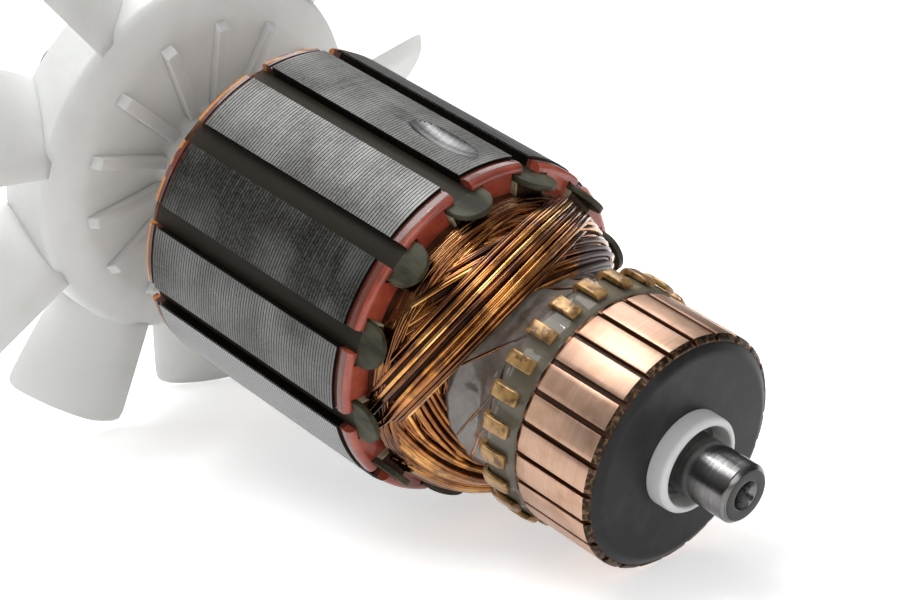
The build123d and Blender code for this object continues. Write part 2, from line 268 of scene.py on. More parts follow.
# %% Group for the place on the armature
place_sockets = [("Point", "Vector"), ("Station", "Float"), ("Radius", "Float"), ("Turn", "Float")]
place_tree, _, place_out = shader_group("place_on_armature", [], place_sockets)
mapping = put(
    place_tree,
    "ShaderNodeMapping",
    {"vector_type": "TEXTURE"},
    Vector=put(place_tree, "ShaderNodeTexCoord").outputs["Object"],
    Location=journal["pos_m"],
    Rotation=tuple(bench_turn.to_euler()),
    Scale=(millimetre, millimetre, millimetre),
)
along, aside, upward = put(place_tree, "ShaderNodeSeparateXYZ", Vector=mapping.outputs[0]).outputs
across = put(place_tree, "ShaderNodeCombineXYZ", Y=aside, Z=upward)
reach = put(place_tree, "ShaderNodeVectorMath", {"operation": "LENGTH"}, Vector=across.outputs[0])
feed(
    place_out,
    Point=mapping.outputs[0],
    Station=maths("ADD", along, journal_station),
    Radius=reach.outputs["Value"],
    Turn=maths("ARCTAN2", maths("MULTIPLY", aside, -1.0), upward),
)
print("place group gives", [socket.name for socket in place_out.inputs if socket.name])

# %% [markdown]
# Turned and ground metal shows fine rings. A wave texture would repeat itself, so the group draws
# the rings as noise stretched round the shaft, once for the tone and once for the height.

# %% Group for rings left by turning
ring_outputs = [("Tone", "Float"), ("Height", "Float")]
ring_tree, ring_in, ring_out = shader_group("turning_rings", [("Fineness", 6.0)], ring_outputs)
where = group(ring_tree, place_tree)
ring_point = put(
    ring_tree,
    "ShaderNodeCombineXYZ",
    X=maths("MULTIPLY", where["Station"], ring_in["Fineness"]),
    Y=maths("SINE", where["Turn"]),
    Z=maths("COSINE", where["Turn"]),
).outputs[0]
ring_tone, ring_height = cloud(ring_point, 0.6, 3.0), cloud(ring_point, 1.7, 4.0)
feed(ring_out, Tone=ring_tone, Height=ring_height)
print("ring group takes", [socket.name for socket in ring_in if socket.name])

# %% [markdown]
# Handled parts carry faint stains and dust. Painting them by hand would suit one part only; a mask
# of thresholded noise suits all, and each finish sets how large and how many the stains are.

# %% Group for dust and small stains
dust_sockets = [("Size", 0.2), ("Cover", 0.5)]
dust_tree, dust_in, dust_out = shader_group("dust", dust_sockets, [("Mask", "Float"), ("Grain", "Float")])
where = group(dust_tree, place_tree)
stains = cloud(where["Point"], dust_in["Size"], 6.0)
bare = maths("SUBTRACT", 1.0, dust_in["Cover"])
mask = maths("MULTIPLY", maths("SUBTRACT", stains, bare), 4.0)
grain = cloud(where["Point"], 7.0, 3.0)
feed(dust_out, Mask=clamped(mask), Grain=grain)
print("shader groups", [g.name for g in bpy.data.node_groups])

# %% [markdown]
# The shaft is ground steel, darker than chrome, with fine rings and a faint oil film. Its end face is
# coloured nearly black, which the station tells.

# %% Mix the ground steel
ground_steel, tree, shader = finish("ground_steel", (0.36, 0.36, 0.37), 0.24, metallic=1.0)
rings = group(tree, ring_tree, Fineness=9.0)
dust = group(tree, dust_tree, Size=0.25, Cover=0.5)
tone = ramp(rings["Tone"], (0.3, (0.13, 0.13, 0.135)), (0.7, (0.24, 0.235, 0.23)))
stained = mix(dust["Mask"], tone, (0.13, 0.12, 0.11))
end_face = over(group(tree, place_tree)["Station"], journal_end - 0.05)
shaft_tone = mix(end_face, stained, (0.045, 0.044, 0.043))
feed(shader, Base_Color=shaft_tone, Roughness=scaled(rings["Tone"], 0.16, 0.16))
bump(shader, rings["Height"], 0.12, 0.00003)

# %% [markdown]
# The core is a stack of half-millimetre sheets, so its skin is fine lines. Cutting 74 real grooves
# would cost thousands of faces that no one sees; the finish draws them from the station instead,
# with a tone of its own for each sheet.

# %% Draw the lamination lines
core_steel, tree, shader = finish("core_steel", (0.36, 0.36, 0.35), 0.4, metallic=0.9)
where = group(tree, place_tree)
sheets_per_mm, sheet_share = 2.0, 0.36
sheet = maths("MULTIPLY", where["Station"], sheets_per_mm)
from_centre = maths("ABSOLUTE", maths("SUBTRACT", maths("FRACT", sheet), 0.5))
on_sheet = under(from_centre, sheet_share)
one_sheet = {"noise_dimensions": "1D"}
sheet_tone = put(tree, "ShaderNodeTexWhiteNoise", one_sheet, W=maths("FLOOR", sheet)).outputs["Value"]
tone = ramp(sheet_tone, (0.0, grey(0.30)), (1.0, grey(0.42)))
rings = group(tree, ring_tree, Fineness=4.0)
worn = mix(maths("MULTIPLY", rings["Tone"], 0.5), tone, grey(0.34))
lined = mix(on_sheet, (0.055, 0.053, 0.05), worn)
print("sheets", int(core_length * sheets_per_mm))

# %% [markdown]
# Painted shade darkens the sheets, and each tooth has its own share of it, after the way the light falls on
# that tooth. Counted from the one with the notch, the third is painted nearly black and the fifth is left
# bare. A ramp over the tooth's number holds the shares, with fine speckles in the shade.

# %% Paint shade on the teeth
tooth = maths("FLOOR", scaled(where["Turn"], slot_count / (2 * pi), 0.5))
# Shares of painted shade, tooth by tooth from the notch.
tooth_shade_shares = (0.6, 0.78, 0.76, 0.97, 0.68, 0.0)
painted_tooth_shade = ramp(
    maths("DIVIDE", maths("ADD", tooth, 1.0), 6.0),
    *[(round(number / 6, 3), grey(share)) for number, share in enumerate(tooth_shade_shares)],
)
tooth_shade_mask = maths("MULTIPLY", painted_tooth_shade, scaled(cloud(where["Point"], 0.12, 3.0), 1.2, 0.4))
grit = cloud(where["Point"], 2.5, 4.0)
speckled = ramp(grit, (0.35, (0.10, 0.097, 0.088)), (0.65, (0.26, 0.255, 0.235)))
shaded_sheets = mix(tooth_shade_mask, lined, speckled, "MULTIPLY")
# The steel walls inside the slots are painted nearly black, as shade.
in_slot = under(where["Radius"], core_radius - 0.25)
core_tone = mix(in_slot, shaded_sheets, (0.02, 0.016, 0.012))
feed(shader, Base_Color=core_tone, Roughness=scaled(sheet_tone, 0.16, 0.38))
bump(shader, on_sheet, 0.8, 0.00008)
print("shares of varnish on the teeth", tooth_shade_shares)

# %% [markdown]
# The balance notch was milled last, through the varnish. Its steel is bare, a little darker where
# the cutter rubbed.

# %% Mix the milled steel
milled_steel, tree, shader = finish("milled_steel", (0.2, 0.2, 0.2), 0.3, metallic=1.0)
rings = group(tree, ring_tree, Fineness=12.0)
feed(shader, Base_Color=ramp(rings["Tone"], (0.3, grey(0.09)), (0.7, grey(0.17))))
bump(shader, rings["Height"], 0.3, 0.00005)

# %% [markdown]
# The commutator's bars are turned bright and have browned a little. Between the bars the undercut
# is dark, and brush dust has settled on their front corners, so both are told by place.

# %% Mix the copper of the bars
bar_copper, tree, shader = finish("bar_copper", (0.62, 0.36, 0.27), 0.3, metallic=1.0)
where = group(tree, place_tree)
rings = group(tree, ring_tree, Fineness=10.0)
dust = group(tree, dust_tree, Size=0.3, Cover=0.5)
bright_stops = ((0.2, (0.47, 0.295, 0.21)), (0.5, (0.54, 0.345, 0.25)), (0.8, (0.61, 0.40, 0.30)))
tarnished = mix(dust["Mask"], ramp(rings["Tone"], *bright_stops), (0.40, 0.24, 0.155))
in_gap = under(where["Radius"], track_radius - 0.15)
sided = mix(in_gap, tarnished, (0.20, 0.095, 0.05))
grime = cloud(where["Point"], 1.5, 5.0)
corner_tone = ramp(grime, (0.46, (0.03, 0.02, 0.014)), (0.75, (0.22, 0.13, 0.07)))
front_corner = over(where["Station"], bar_front - 0.62)
bar_tone = mix(front_corner, sided, corner_tone)
feed(shader, Base_Color=bar_tone, Roughness=scaled(rings["Tone"], 0.15, 0.34))
bump(shader, rings["Height"], 0.06, 0.00003)

# %% [markdown]
# The hooks were heated when the wires were fused to them and then dipped, so their copper is ochre
# with dark blotches under a thin coat.

# %% Mix the copper of the hooks
hook_copper, tree, shader = finish(
    "hook_copper", (0.62, 0.36, 0.13), 0.38, metallic=0.5, Coat_Weight=0.3, Coat_Roughness=0.12
)
blotch = cloud(group(tree, place_tree)["Point"], 0.7, 4.0)
hook_stops = ((0.36, (0.12, 0.06, 0.02)), (0.5, (0.36, 0.20, 0.066)), (0.75, (0.52, 0.32, 0.12)))
feed(shader, Base_Color=ramp(blotch, *hook_stops))
bump(shader, blotch, 0.5, 0.0004)

# %% [markdown]
# The winding wire lies under amber varnish. One colour for all would read as a solid lump, so each strand
# has a tone of its own in an attribute, patches vary along it, some dark, and it is darker near the end
# plates.

# %% Mix the tones of the wire
wire_copper, tree, shader = finish(
    "wire_copper", (0.6, 0.3, 0.12), 0.22, metallic=1.0, Coat_Weight=0.6, Coat_Roughness=0.05
)
where = group(tree, place_tree)
patches = cloud(where["Point"], 0.16, 3.0)
ripples = cloud(where["Point"], 0.5, 2.0)
each_wire = put(tree, "ShaderNodeAttribute", {"attribute_name": "strand"}).outputs["Fac"]
tone = ramp(
    scaled(each_wire, 0.55, scaled(patches, 1.2, -0.35)),
    (0.22, (0.07, 0.02, 0.004)),
    (0.46, (0.28, 0.09, 0.015)),
    (0.70, (0.60, 0.26, 0.055)),
    (0.90, (0.92, 0.54, 0.19)),
)
pooled = ramp(ripples, (0.50, grey(0.0)), (0.66, grey(0.6)))
past_rear = maths("SUBTRACT", -core_length, where["Station"])
from_plate = maths("MAXIMUM", where["Station"], past_rear)
darker_near_plates = ramp(maths("DIVIDE", from_plate, 12.0), (0.3, grey(0.75)), (0.72, grey(0.0)))
varnished = mix(maths("MAXIMUM", pooled, darker_near_plates), tone, (0.085, 0.028, 0.009))

# %% [markdown]
# Resin has run over the wires next to the commutator and greyed them, and it reaches further up on
# the far side, where the turn is below nought. It hides the metal, so it turns the metallic value
# down too.

# %% Grey the wires under the resin
resin_edge, far_side_reach = 18.4, 6.0
far_side = clamped(scaled(where["Turn"], -3.0, -0.2))
wavy_station = scaled(patches, 4.0, where["Station"])
past_edge = maths("SUBTRACT", scaled(far_side, far_side_reach, wavy_station), resin_edge)
resin_cover = clamped(maths("MULTIPLY", past_edge, 0.7))
feed(
    shader,
    Base_Color=mix(resin_cover, varnished, (0.11, 0.078, 0.074)),
    Metallic=scaled(resin_cover, -0.8, 1.0),
    Roughness=scaled(resin_cover, 0.25, 0.2),
    Coat_Weight=scaled(resin_cover, -0.45, 0.6),
)
bump(shader, ripples, 0.15, 0.0002)
print("resin greys the wires from station", resin_edge, "and sooner by", far_side_reach, "on the far side")

# %% [markdown]
# The dip resin is grey-brown and glossy, clouded inside. Real translucency would be slow to render
# and hardly show, so a cloudy tone under a clear coat stands for it. The collar below the hooks is
# drier.

# %% Mix the resin
resin_finish, tree, shader = finish(
    "grey_resin", (0.17, 0.15, 0.14), 0.3, Coat_Weight=1.0, Coat_Roughness=0.05, Specular_IOR_Level=0.3
)
where = group(tree, place_tree)
resin_stops = ((0.35, (0.13, 0.112, 0.098)), (0.55, (0.20, 0.175, 0.155)), (0.8, (0.27, 0.24, 0.21)))
tone = ramp(cloud(where["Point"], 0.35, 5.0), *resin_stops)
on_collar = ramp(scaled(where["Station"], 0.6, -11.7), (0.0, grey(0.0)), (1.0, grey(1.0)))
feed(
    shader,
    Base_Color=mix(on_collar, tone, (0.13, 0.11, 0.075)),
    Coat_Weight=scaled(on_collar, -0.5, 1.0),
    Roughness=scaled(on_collar, 0.2, 0.3),
)
bump(shader, cloud(where["Point"], 0.8, 3.0), 0.35, 0.0005)

# %% [markdown]
# Between and under the wires the varnish is deep, and its colour is painted nearly black as the shade that
# fills those gaps. It stays dull, or the gaps between the strands would shine grey.

# %% Mix the deep varnish with its painted shade
varnish_and_shade_fill, tree, shader = finish("dark_varnish_and_shade", (0.03, 0.012, 0.006), 0.6, Specular_IOR_Level=0.2)
murk = cloud(group(tree, place_tree)["Point"], 0.6, 5.0)
murk_tone = ramp(murk, (0.35, (0.025, 0.009, 0.004)), (0.7, (0.09, 0.034, 0.012)))
feed(shader, Base_Color=murk_tone)
bump(shader, murk, 0.5, 0.0004)

# %% [markdown]
# The commutator's body is black phenolic with a satin face. Copper swarf has stained it brown in
# the gaps between the bars.

# %% Mix the black phenolic
phenolic, tree, shader = finish("black_phenolic", (0.025, 0.025, 0.027), 0.42, Specular_IOR_Level=0.25)
where = group(tree, place_tree)
dust = group(tree, dust_tree, Size=0.3, Cover=0.52)
tone = mix(dust["Mask"], (0.012, 0.012, 0.013), (0.025, 0.024, 0.023))
behind_face = under(where["Station"], bar_front)
in_gap = maths("MULTIPLY", over(where["Radius"], ledge_radius + 0.4), behind_face)
body_tone = mix(in_gap, tone, (0.11, 0.05, 0.028))
feed(shader, Base_Color=body_tone, Roughness=scaled(dust["Grain"], 0.25, 0.3))
bump(shader, dust["Grain"], 0.15, 0.0001)

# %% [markdown]
# The end plates are brick red and glossy. Next to the core each has a step that varnish has
# browned, and the rear plate's rim shines amber where varnish ran round it.

# %% Mix the red of the end plates
red_plate, tree, shader = finish(
    "red_moulding", (0.50, 0.10, 0.045), 0.35, Coat_Weight=0.5, Coat_Roughness=0.08
)
where = group(tree, place_tree)
mottle = cloud(where["Point"], 0.25, 5.0)
red_stops = ((0.3, (0.26, 0.04, 0.022)), (0.55, (0.42, 0.07, 0.036)), (0.8, (0.56, 0.15, 0.08)))
from_middle = maths("ABSOLUTE", maths("ADD", where["Station"], core_length / 2))
on_step = under(from_middle, core_length / 2 + plate_step)
on_rim = over(where["Radius"], plate_radius - 0.05)
browned = maths("MAXIMUM", on_step, on_rim)
stepped = mix(browned, ramp(mottle, *red_stops), (0.15, 0.035, 0.02))
at_rear = under(where["Station"], -core_length)
near_rim = over(where["Radius"], plate_radius - 1.2)
ran_round = maths("MULTIPLY", at_rear, near_rim)
ran_round = maths("MULTIPLY", ran_round, over(mottle, 0.42))
outer_half = under(where["Station"], -core_length - 1.3)
dark_rim = mix(ran_round, stepped, (0.10, 0.028, 0.016))
amber_rim = mix(maths("MULTIPLY", ran_round, outer_half), dark_rim, (0.62, 0.22, 0.03))
feed(shader, Base_Color=amber_rim)
bump(shader, mottle, 0.45, 0.0008)

# %% [markdown]
# The fan and the tube are natural nylon, milky because light enters a little way. A small
# subsurface weight gives that without making them look like wax.

# %% Mix the nylon
nylon, tree, shader = finish(
    "white_nylon",
    (0.80, 0.79, 0.76),
    0.42,
    Subsurface_Weight=0.3,
    Subsurface_Scale=0.003,
    Subsurface_Radius=(1.0, 1.0, 0.9),
)
dust = group(tree, dust_tree, Size=0.12, Cover=0.5)
milky = mix(dust["Mask"], (0.86, 0.87, 0.85), (0.79, 0.80, 0.78))
feed(shader, Base_Color=milky, Roughness=scaled(dust["Grain"], 0.2, 0.32))
bump(shader, dust["Grain"], 0.08, 0.0002)

# %% [markdown]
# The wedges are vulcanised fibre, olive under varnish, with a grain along the strip. Inside the slots they
# are painted darker, as shade.

# %% Mix the fibre
fibre, tree, shader = finish("olive_fibre", (0.20, 0.18, 0.12), 0.5, Specular_IOR_Level=0.2)
where = group(tree, place_tree)
long_grain = put(
    tree,
    "ShaderNodeCombineXYZ",
    X=maths("MULTIPLY", where["Station"], 0.15),
    Y=maths("MULTIPLY", where["Turn"], 12.0),
    Z=where["Radius"],
).outputs[0]
grain = cloud(long_grain, 1.2, 5.0)
tone = ramp(grain, (0.35, (0.03, 0.028, 0.017)), (0.65, (0.085, 0.082, 0.052)))
from_middle = maths("ABSOLUTE", maths("ADD", where["Station"], core_length / 2))
# Painted shade: the fibre inside the slots is darker.
sunk = under(from_middle, core_length / 2 + 2.1)
feed(shader, Base_Color=mix(sunk, tone, (0.024, 0.019, 0.012)))
bump(shader, grain, 0.2, 0.0001)

# %% [markdown]
# Little of the slot liners shows. They are pressed paper, browned unevenly by the varnish.

# %% Mix the paper
paper, tree, shader = finish("slot_paper", (0.50, 0.46, 0.34), 0.7)
mottle = cloud(group(tree, place_tree)["Point"], 1.5, 5.0)
feed(shader, Base_Color=ramp(mottle, (0.3, (0.30, 0.24, 0.14)), (0.7, (0.58, 0.52, 0.38))))
print("finishes", len(bpy.data.materials))

# %% [markdown]
# The modelling helpers follow the shop's own steps: an outline is drawn, turned round the shaft or
# pushed to a thickness, and its edges are broken. Modifiers could do the same, but these operators
# leave plain meshes with nothing left to apply.

# %% Draw and turn an outline
touching = 0.001


def outline(bm, points):
    """Flat face through the points."""
    return bm.faces.new([bm.verts.new(p) for p in points])


def close_ends(bm):
    """Fills what is still open."""
    bmesh.ops.holes_fill(bm, edges=[e for e in bm.edges if e.is_boundary], sides=0)


def turned(corners, rounds=None, steps=96, sweep=360):
    """Profile of (station, radius) corners turned round the shaft, with some corners rounded."""
    bm = bmesh.new()
    marks = list(outline(bm, [(x, 0, r) for x, r in corners]).verts)
    for number, size in (rounds or {}).items():
        bmesh.ops.bevel(bm, geom=[marks[number]], offset=size, affect="VERTICES", segments=4, profile=0.5)
    bmesh.ops.delete(bm, geom=bm.faces[:], context="FACES_ONLY")
    on_axis = [e for e in bm.edges if all(abs(v.co.z) < touching for v in e.verts)]
    bmesh.ops.delete(bm, geom=on_axis, context="EDGES")
    whole = sweep == 360
    bmesh.ops.spin(
        bm,
        geom=bm.verts[:] + bm.edges[:],
        cent=(0, 0, 0),
        axis=(1, 0, 0),
        angle=radians(sweep),
        steps=steps,
        use_merge=whole,
    )
    bmesh.ops.remove_doubles(bm, verts=bm.verts[:], dist=touching)
    if not whole:
        close_ends(bm)
    return bm


trial = turned([(0, 1), (1, 1), (1, 2)], steps=8)
print("a triangle turned in 8 steps has", len(trial.faces), "faces")
trial.free()

# %% [markdown]
# What is not round is flat stock: plates, strips, hooks and ribs. They are cut to an outline and
# get their thickness from an extrusion, which keeps the side that it started from.

# %% Push an outline
def push(bm, faces, shift, keep=True):
    """Pushes faces along a shift and gives their moved corners."""
    made = bmesh.ops.extrude_face_region(bm, geom=faces, use_keep_orig=keep)
    corners = [v for v in made["geom"] if isinstance(v, bmesh.types.BMVert)]
    bmesh.ops.translate(bm, verts=corners, vec=shift)
    return corners


def pushed(points, shift):
    """Flat outline pushed along a shift into a closed body."""
    bm = bmesh.new()
    push(bm, [outline(bm, points)], shift)
    return bm


trial = pushed([(0, 0, 0), (1, 0, 0), (1, 1, 0)], (0, 0, 1))
print("a pushed triangle has", len(trial.faces), "faces")
trial.free()

# %% [markdown]
# No made edge is razor sharp, and a small round is what catches the light. A bevel on chosen edges
# gives it; a Bevel modifier could not tell a slot's edge from the rim.

# %% Break the edges
def break_edges(bm, size, chosen=lambda edge: True, segments=2, angle=30):
    """Rounds the chosen sharp edges."""
    bmesh.ops.recalc_face_normals(bm, faces=bm.faces[:])
    inner = [e for e in bm.edges if len(e.link_faces) == 2]
    sharp = [e for e in inner if e.calc_face_angle(0) > radians(angle) and chosen(e)]
    bmesh.ops.bevel(
        bm,
        geom=sharp,
        offset=size,
        affect="EDGES",
        segments=segments,
        profile=0.5,
        material=-1,
        clamp_overlap=True,
    )


trial = pushed([(0, 0, 0), (1, 0, 0), (1, 1, 0)], (0, 0, 1))
break_edges(trial, 0.1)
print("with its edges broken it has", len(trial.faces))
trial.free()

# %% [markdown]
# A finished body goes from the bench to its place in one step. Its matrix is put into the mesh, so
# the object itself stays at the origin, as the CAD solids do.

# %% Settle a finished body
def meshed(bm, name="part"):
    """Mesh of a body, which is freed."""
    mesh = bpy.data.meshes.new(name)
    bm.to_mesh(mesh)
    bm.free()
    return mesh


def shown(name, data):
    """Object in the scene."""
    obj = bpy.data.objects.new(name, data)
    scene.collection.objects.link(obj)
    return obj


def settle(name, mesh, finishes, nodes=()):
    """Gives a mesh its finishes and makes it part of the armature."""
    for material in finishes:
        mesh.materials.append(material)
    obj = shown(name, mesh)
    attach(obj, "root")
    if nodes:
        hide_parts(*nodes)
    print(name, len(mesh.polygons), "faces")


def piece(name, bm, finishes, nodes, sharp=32):
    """Brings a body from the bench to its place, smooth but for its sharp edges."""
    bmesh.ops.recalc_face_normals(bm, faces=bm.faces[:])
    bm.transform(bench)
    mesh = meshed(bm, name)
    mesh.shade_smooth()
    mesh.set_sharp_from_angle(angle=radians(sharp))
    settle(name, mesh, finishes, nodes)


print("bench to world, first row", [round(part, 6) for part in bench[0]])

# %% [markdown]
# The shaft is turned between centres, so both ends keep a centre hole with a wide mouth. The
# bearing journals are ground, and each shoulder has a small corner. One profile spun round the axis
# gives it all, where stacked cylinders would leave seams.

# %% Turn the shaft
shaft_radius, journal_radius, drive_journal_radius, drive_radius = 5.0, 4.0, 4.5, 4.0
journal_start = 38.5
bearing_shoulder, drive_shoulder, drive_end = -66.5, -78.0, -92.0


def centred_end(end, way, radius, bottom):
    """Corners from the bottom of a centre hole out to the chamfer of its end."""
    hole = [(bottom, 0), (4.0, 0.01), (3.4, 1.1), (1.56, 1.1), (0, 2.0), (0, radius - 0.6), (0.6, radius)]
    return [(end + way * depth, r) for depth, r in hole]


shaft = turned(
    [
        *centred_end(drive_end, 1, drive_radius, bottom=3.0),
        (drive_shoulder, drive_radius),
        (drive_shoulder, drive_journal_radius),
        (bearing_shoulder, drive_journal_radius),
        (bearing_shoulder, shaft_radius),
        (journal_start, shaft_radius),
        (journal_start, journal_radius),
        *centred_end(journal_end, -1, journal_radius, bottom=4.0)[::-1],
    ],
    {4: 0.12, 5: 0.1, 6: 0.15, 8: 0.15, 10: 0.15, 13: 0.15, 14: 0.12, 15: 0.15},
)
piece("shaft_turned", shaft, [ground_steel], ["shaft"])

# %% [markdown]
# A nylon tube keeps the shaft apart from core and copper. Only its mouth shows, a white ring in the
# commutator, so that end has the rounds and the inner step.

# %% Turn the nylon tube
tube_rear, tube_front, tube_radius, tube_bore = -51.0, 41.1, 6.55, shaft_radius + 0.02
mouth_radius, mouth_depth = 5.5, 3.6
tube = turned(
    [
        (tube_rear, tube_bore),
        (tube_rear, tube_radius),
        (tube_front, tube_radius),
        (tube_front, mouth_radius),
        (tube_front - mouth_depth, mouth_radius),
        (tube_front - mouth_depth, tube_bore),
    ],
    {1: 0.3, 2: 0.75, 3: 0.25},
)
piece("nylon_tube", tube, [nylon], ["insulating_tube"])

# %% [markdown]
# The core is punched sheet steel, so one outline gives the teeth and the part-closed slots, and the
# red plates follow it too. The teeth have parallel sides, so a slot's width follows from its radius.

# %% Draw the slotted outline
slot_pitch, slot_opening, slot_top, slot_floor, tooth_width = 30.0, 3.2, 22.2, 12.0, 5.0


def slot_half_width(radius, inset=0.0):
    """Half the width of a slot between parallel-sided teeth, less an inset from its walls."""
    half_pitch = radians(slot_pitch / 2)
    return radius * tan(half_pitch) - (tooth_width / 2 + inset) / cos(half_pitch)


def tooth_outline(radius, arc_steps=9):
    """Corners of the slotted disc in turn, as (radius, turn) pairs."""
    mouth = slot_opening / 2
    rim = sqrt(radius**2 - mouth**2)
    mouth_turn = degrees(atan2(mouth, rim))
    half_slot = [(slot_floor, slot_half_width(slot_floor)), (slot_top, slot_half_width(slot_top))]
    half_slot += [(slot_top, mouth), (rim, mouth)]
    whole_slot = [(out, -across) for out, across in half_slot[::-1]] + half_slot
    corners = []
    for slot in range(slot_count):
        middle = slot_pitch * (slot + 0.5)
        for out, across in whole_slot:
            corners.append((sqrt(out**2 + across**2), middle + degrees(atan2(across, out))))
        for step in range(1, arc_steps):
            corners.append((radius, middle + mouth_turn + (slot_pitch - 2 * mouth_turn) * step / arc_steps))
    return corners


print("corners of the outline", len(tooth_outline(core_radius)))

# %% [markdown]
# A slotted disc is filled flat between the outline and its bore, and then pushed to its thickness.
# A Boolean for each slot would do the same with far more work and worse faces.

# %% Stack the core
seat_radius = tube_radius + 0.02


def loop(bm, points):
    """Closed ring of edges through the points."""
    marks = [bm.verts.new(p) for p in points]
    return [bm.edges.new(pair) for pair in zip(marks, marks[1:] + marks[:1])]


def slotted_disc(station, radius, bore_steps=48):
    """Flat slotted disc with its bore."""
    bm = bmesh.new()
    bore = [(seat_radius, 360 / bore_steps * step) for step in range(bore_steps)]
    edges = []
    for corners in (tooth_outline(radius), bore):
        edges += loop(bm, [spot(station, r, t) for r, t in corners])
    bmesh.ops.triangle_fill(bm, edges=edges, use_beauty=True, normal=(1, 0, 0))
    return bm


def thicken(bm, station, length, first=False):
    """Pushes the face at a station on by a length and gives its moved corners."""
    faces = [f for f in bm.faces if all(abs(v.co.x - station) < touching for v in f.verts)]
    return push(bm, faces, (length, 0, 0), keep=first)


core = slotted_disc(-core_length, core_radius)
thicken(core, -core_length, core_length, first=True)
bmesh.ops.recalc_face_normals(core, faces=core.faces[:])
print("core", len(core.faces), "faces before the notch")

# %% [markdown]
# The notch in the top tooth was milled to balance the armature, by a cutter like a ring. A Boolean
# with the same ring leaves the true saddle, which no bevel could draw. Its faces get bare steel.

# %% Mill the balance notch
notch_station, notch_depth, cutter_reach, cutter_radius = -8.0, 1.1, 17.0, 2.4
cutter_middle = core_radius - notch_depth + cutter_reach + cutter_radius


def applied(obj):
    """Mesh of an object with its modifiers done, or of a drawn curve; the object goes."""
    mesh = bpy.data.meshes.new_from_object(obj.evaluated_get(bpy.context.evaluated_depsgraph_get()))
    bpy.data.objects.remove(obj)
    return mesh


cutter = bmesh.new()
rim_place = Matrix.Translation((notch_station, 0, cutter_middle - cutter_reach))
upright = Matrix.Rotation(pi / 2, 4, "Y")
bmesh.ops.create_circle(cutter, radius=cutter_radius, segments=40, matrix=rim_place @ upright)
bmesh.ops.spin(
    cutter,
    geom=cutter.verts[:] + cutter.edges[:],
    cent=(notch_station, 0, cutter_middle),
    axis=(0, 1, 0),
    angle=2 * pi,
    steps=180,
    use_merge=True,
)
bmesh.ops.recalc_face_normals(cutter, faces=cutter.faces[:])
cutter_tool = shown("cutter_tool", meshed(cutter))
core_blank = shown("core_blank", meshed(core))
cut = core_blank.modifiers.new("notch", "BOOLEAN")
cut.object = cutter_tool
cut.operation = "DIFFERENCE"
cut.solver = "EXACT"
core = bmesh.new()
core.from_mesh(applied(core_blank))
bpy.data.objects.remove(cutter_tool)
notch_half_length, notch_half_width, notch_floor = 6.6, 2.1, 22.4
for face in core.faces:
    middle = face.calc_center_median()
    beside = abs(middle.x - notch_station) < notch_half_length and abs(middle.y) < notch_half_width
    face.material_index = int(beside and middle.z > notch_floor and middle.yz.length < core_radius - 0.1)
piece("core_stack", core, [core_steel, milled_steel], ["core"])

# %% [markdown]
# The end plates keep the wire off the steel. Each is moulded to the laminations' outline, with a
# low step on the core, a wide round at the rim and a small one along the slots. The rear plate is
# the front one mirrored, so one loop makes both.

# %% Mould the red end plates
plate_thickness, plate_inner, step_slope, face_depth = 2.3, plate_radius - 0.2, 0.02, 0.01
unmoved = Matrix()
flip = Matrix.Translation((-core_length, 0, 0)) @ Matrix.Scale(-1, 4, (1, 0, 0))


def on_outer_face(edge, inner, outer):
    """Edge of the plate's outer face between two radii."""
    on_face = all(v.co.x > plate_thickness - face_depth for v in edge.verts)
    return on_face and all(inner < v.co.yz.length < outer for v in edge.verts)


for name, node, side in (
    ("red_plate_front", "front_end_plate", unmoved),
    ("red_plate_rear", "rear_end_plate", flip),
):
    plate = slotted_disc(0.0, plate_inner)
    thicken(plate, 0.0, plate_step, first=True)
    for v in thicken(plate, plate_step, step_slope):
        if v.co.yz.length > plate_inner - 0.4:
            v.co.yz = v.co.yz * (plate_radius / plate_inner)
    thicken(plate, plate_step + step_slope, plate_thickness - plate_step - step_slope)
    break_edges(plate, 0.9, lambda e: on_outer_face(e, plate_radius - 0.05, core_radius), segments=5)
    break_edges(plate, 0.25, lambda e: on_outer_face(e, slot_floor - 0.5, slot_top + 0.4), segments=3)
    plate.transform(side)
    piece(name, plate, [red_plate], [node])

# %% [markdown]
# Wedges are strips of fibre slid in under the tooth tips. Their round tongues stand past the front
# plate, where the hand pushed them in, so the outline ends in a half circle there.

# %% Cut the fibre wedges
wedge_thickness, wedge_reach, wedge_rear_reach, wedge_gap = 0.9, 6.2, 1.8, 0.05
wedge_top = slot_top - wedge_gap
wedge_half = slot_half_width(slot_top - wedge_thickness, 0.15)


def arc(centre, radius, start, step, count):
    """Points of an arc, with its angles in degrees."""
    angles = [radians(start + step * number) for number in range(count)]
    return [(centre[0] + radius * cos(angle), centre[1] + radius * sin(angle)) for angle in angles]


wedge_plan = [(-core_length - wedge_rear_reach, side * wedge_half) for side in (1, -1)]
wedge_plan += arc((wedge_reach - wedge_half, 0), wedge_half, start=-90, step=10, count=19)
for slot in range(1, slot_count + 1):
    wedge = pushed([(x, y, wedge_top) for x, y in wedge_plan], (0, 0, wedge_gap - wedge_thickness))
    break_edges(wedge, 0.14)
    wedge.transform(around(slot_pitch * (slot - 0.5)))
    piece(f"fibre_wedge_{slot:02d}", wedge, [fibre], [f"slot_wedge_{slot:02d}"])

# %% [markdown]
# Only the thin ends of the folded paper liners show. Their CAD shape is as fine as that needs, so
# they keep it and take the paper finish.

# %% Finish the liners
for slot in range(1, slot_count + 1):
    liner = frame["nodes"][f"slot_liner_{slot:02d}"]
    liner.data.materials.clear()
    liner.data.materials.append(paper)
print("liners", slot_count)

# %% [markdown]
# The commutator has 24 copper bars, each with a foot that the moulding holds. The lathe that trues
# the track leaves thin bright edges, so the bars have small rounds. A bar is a profile turned
# through its share of the circle, which gives it the true wedge form.

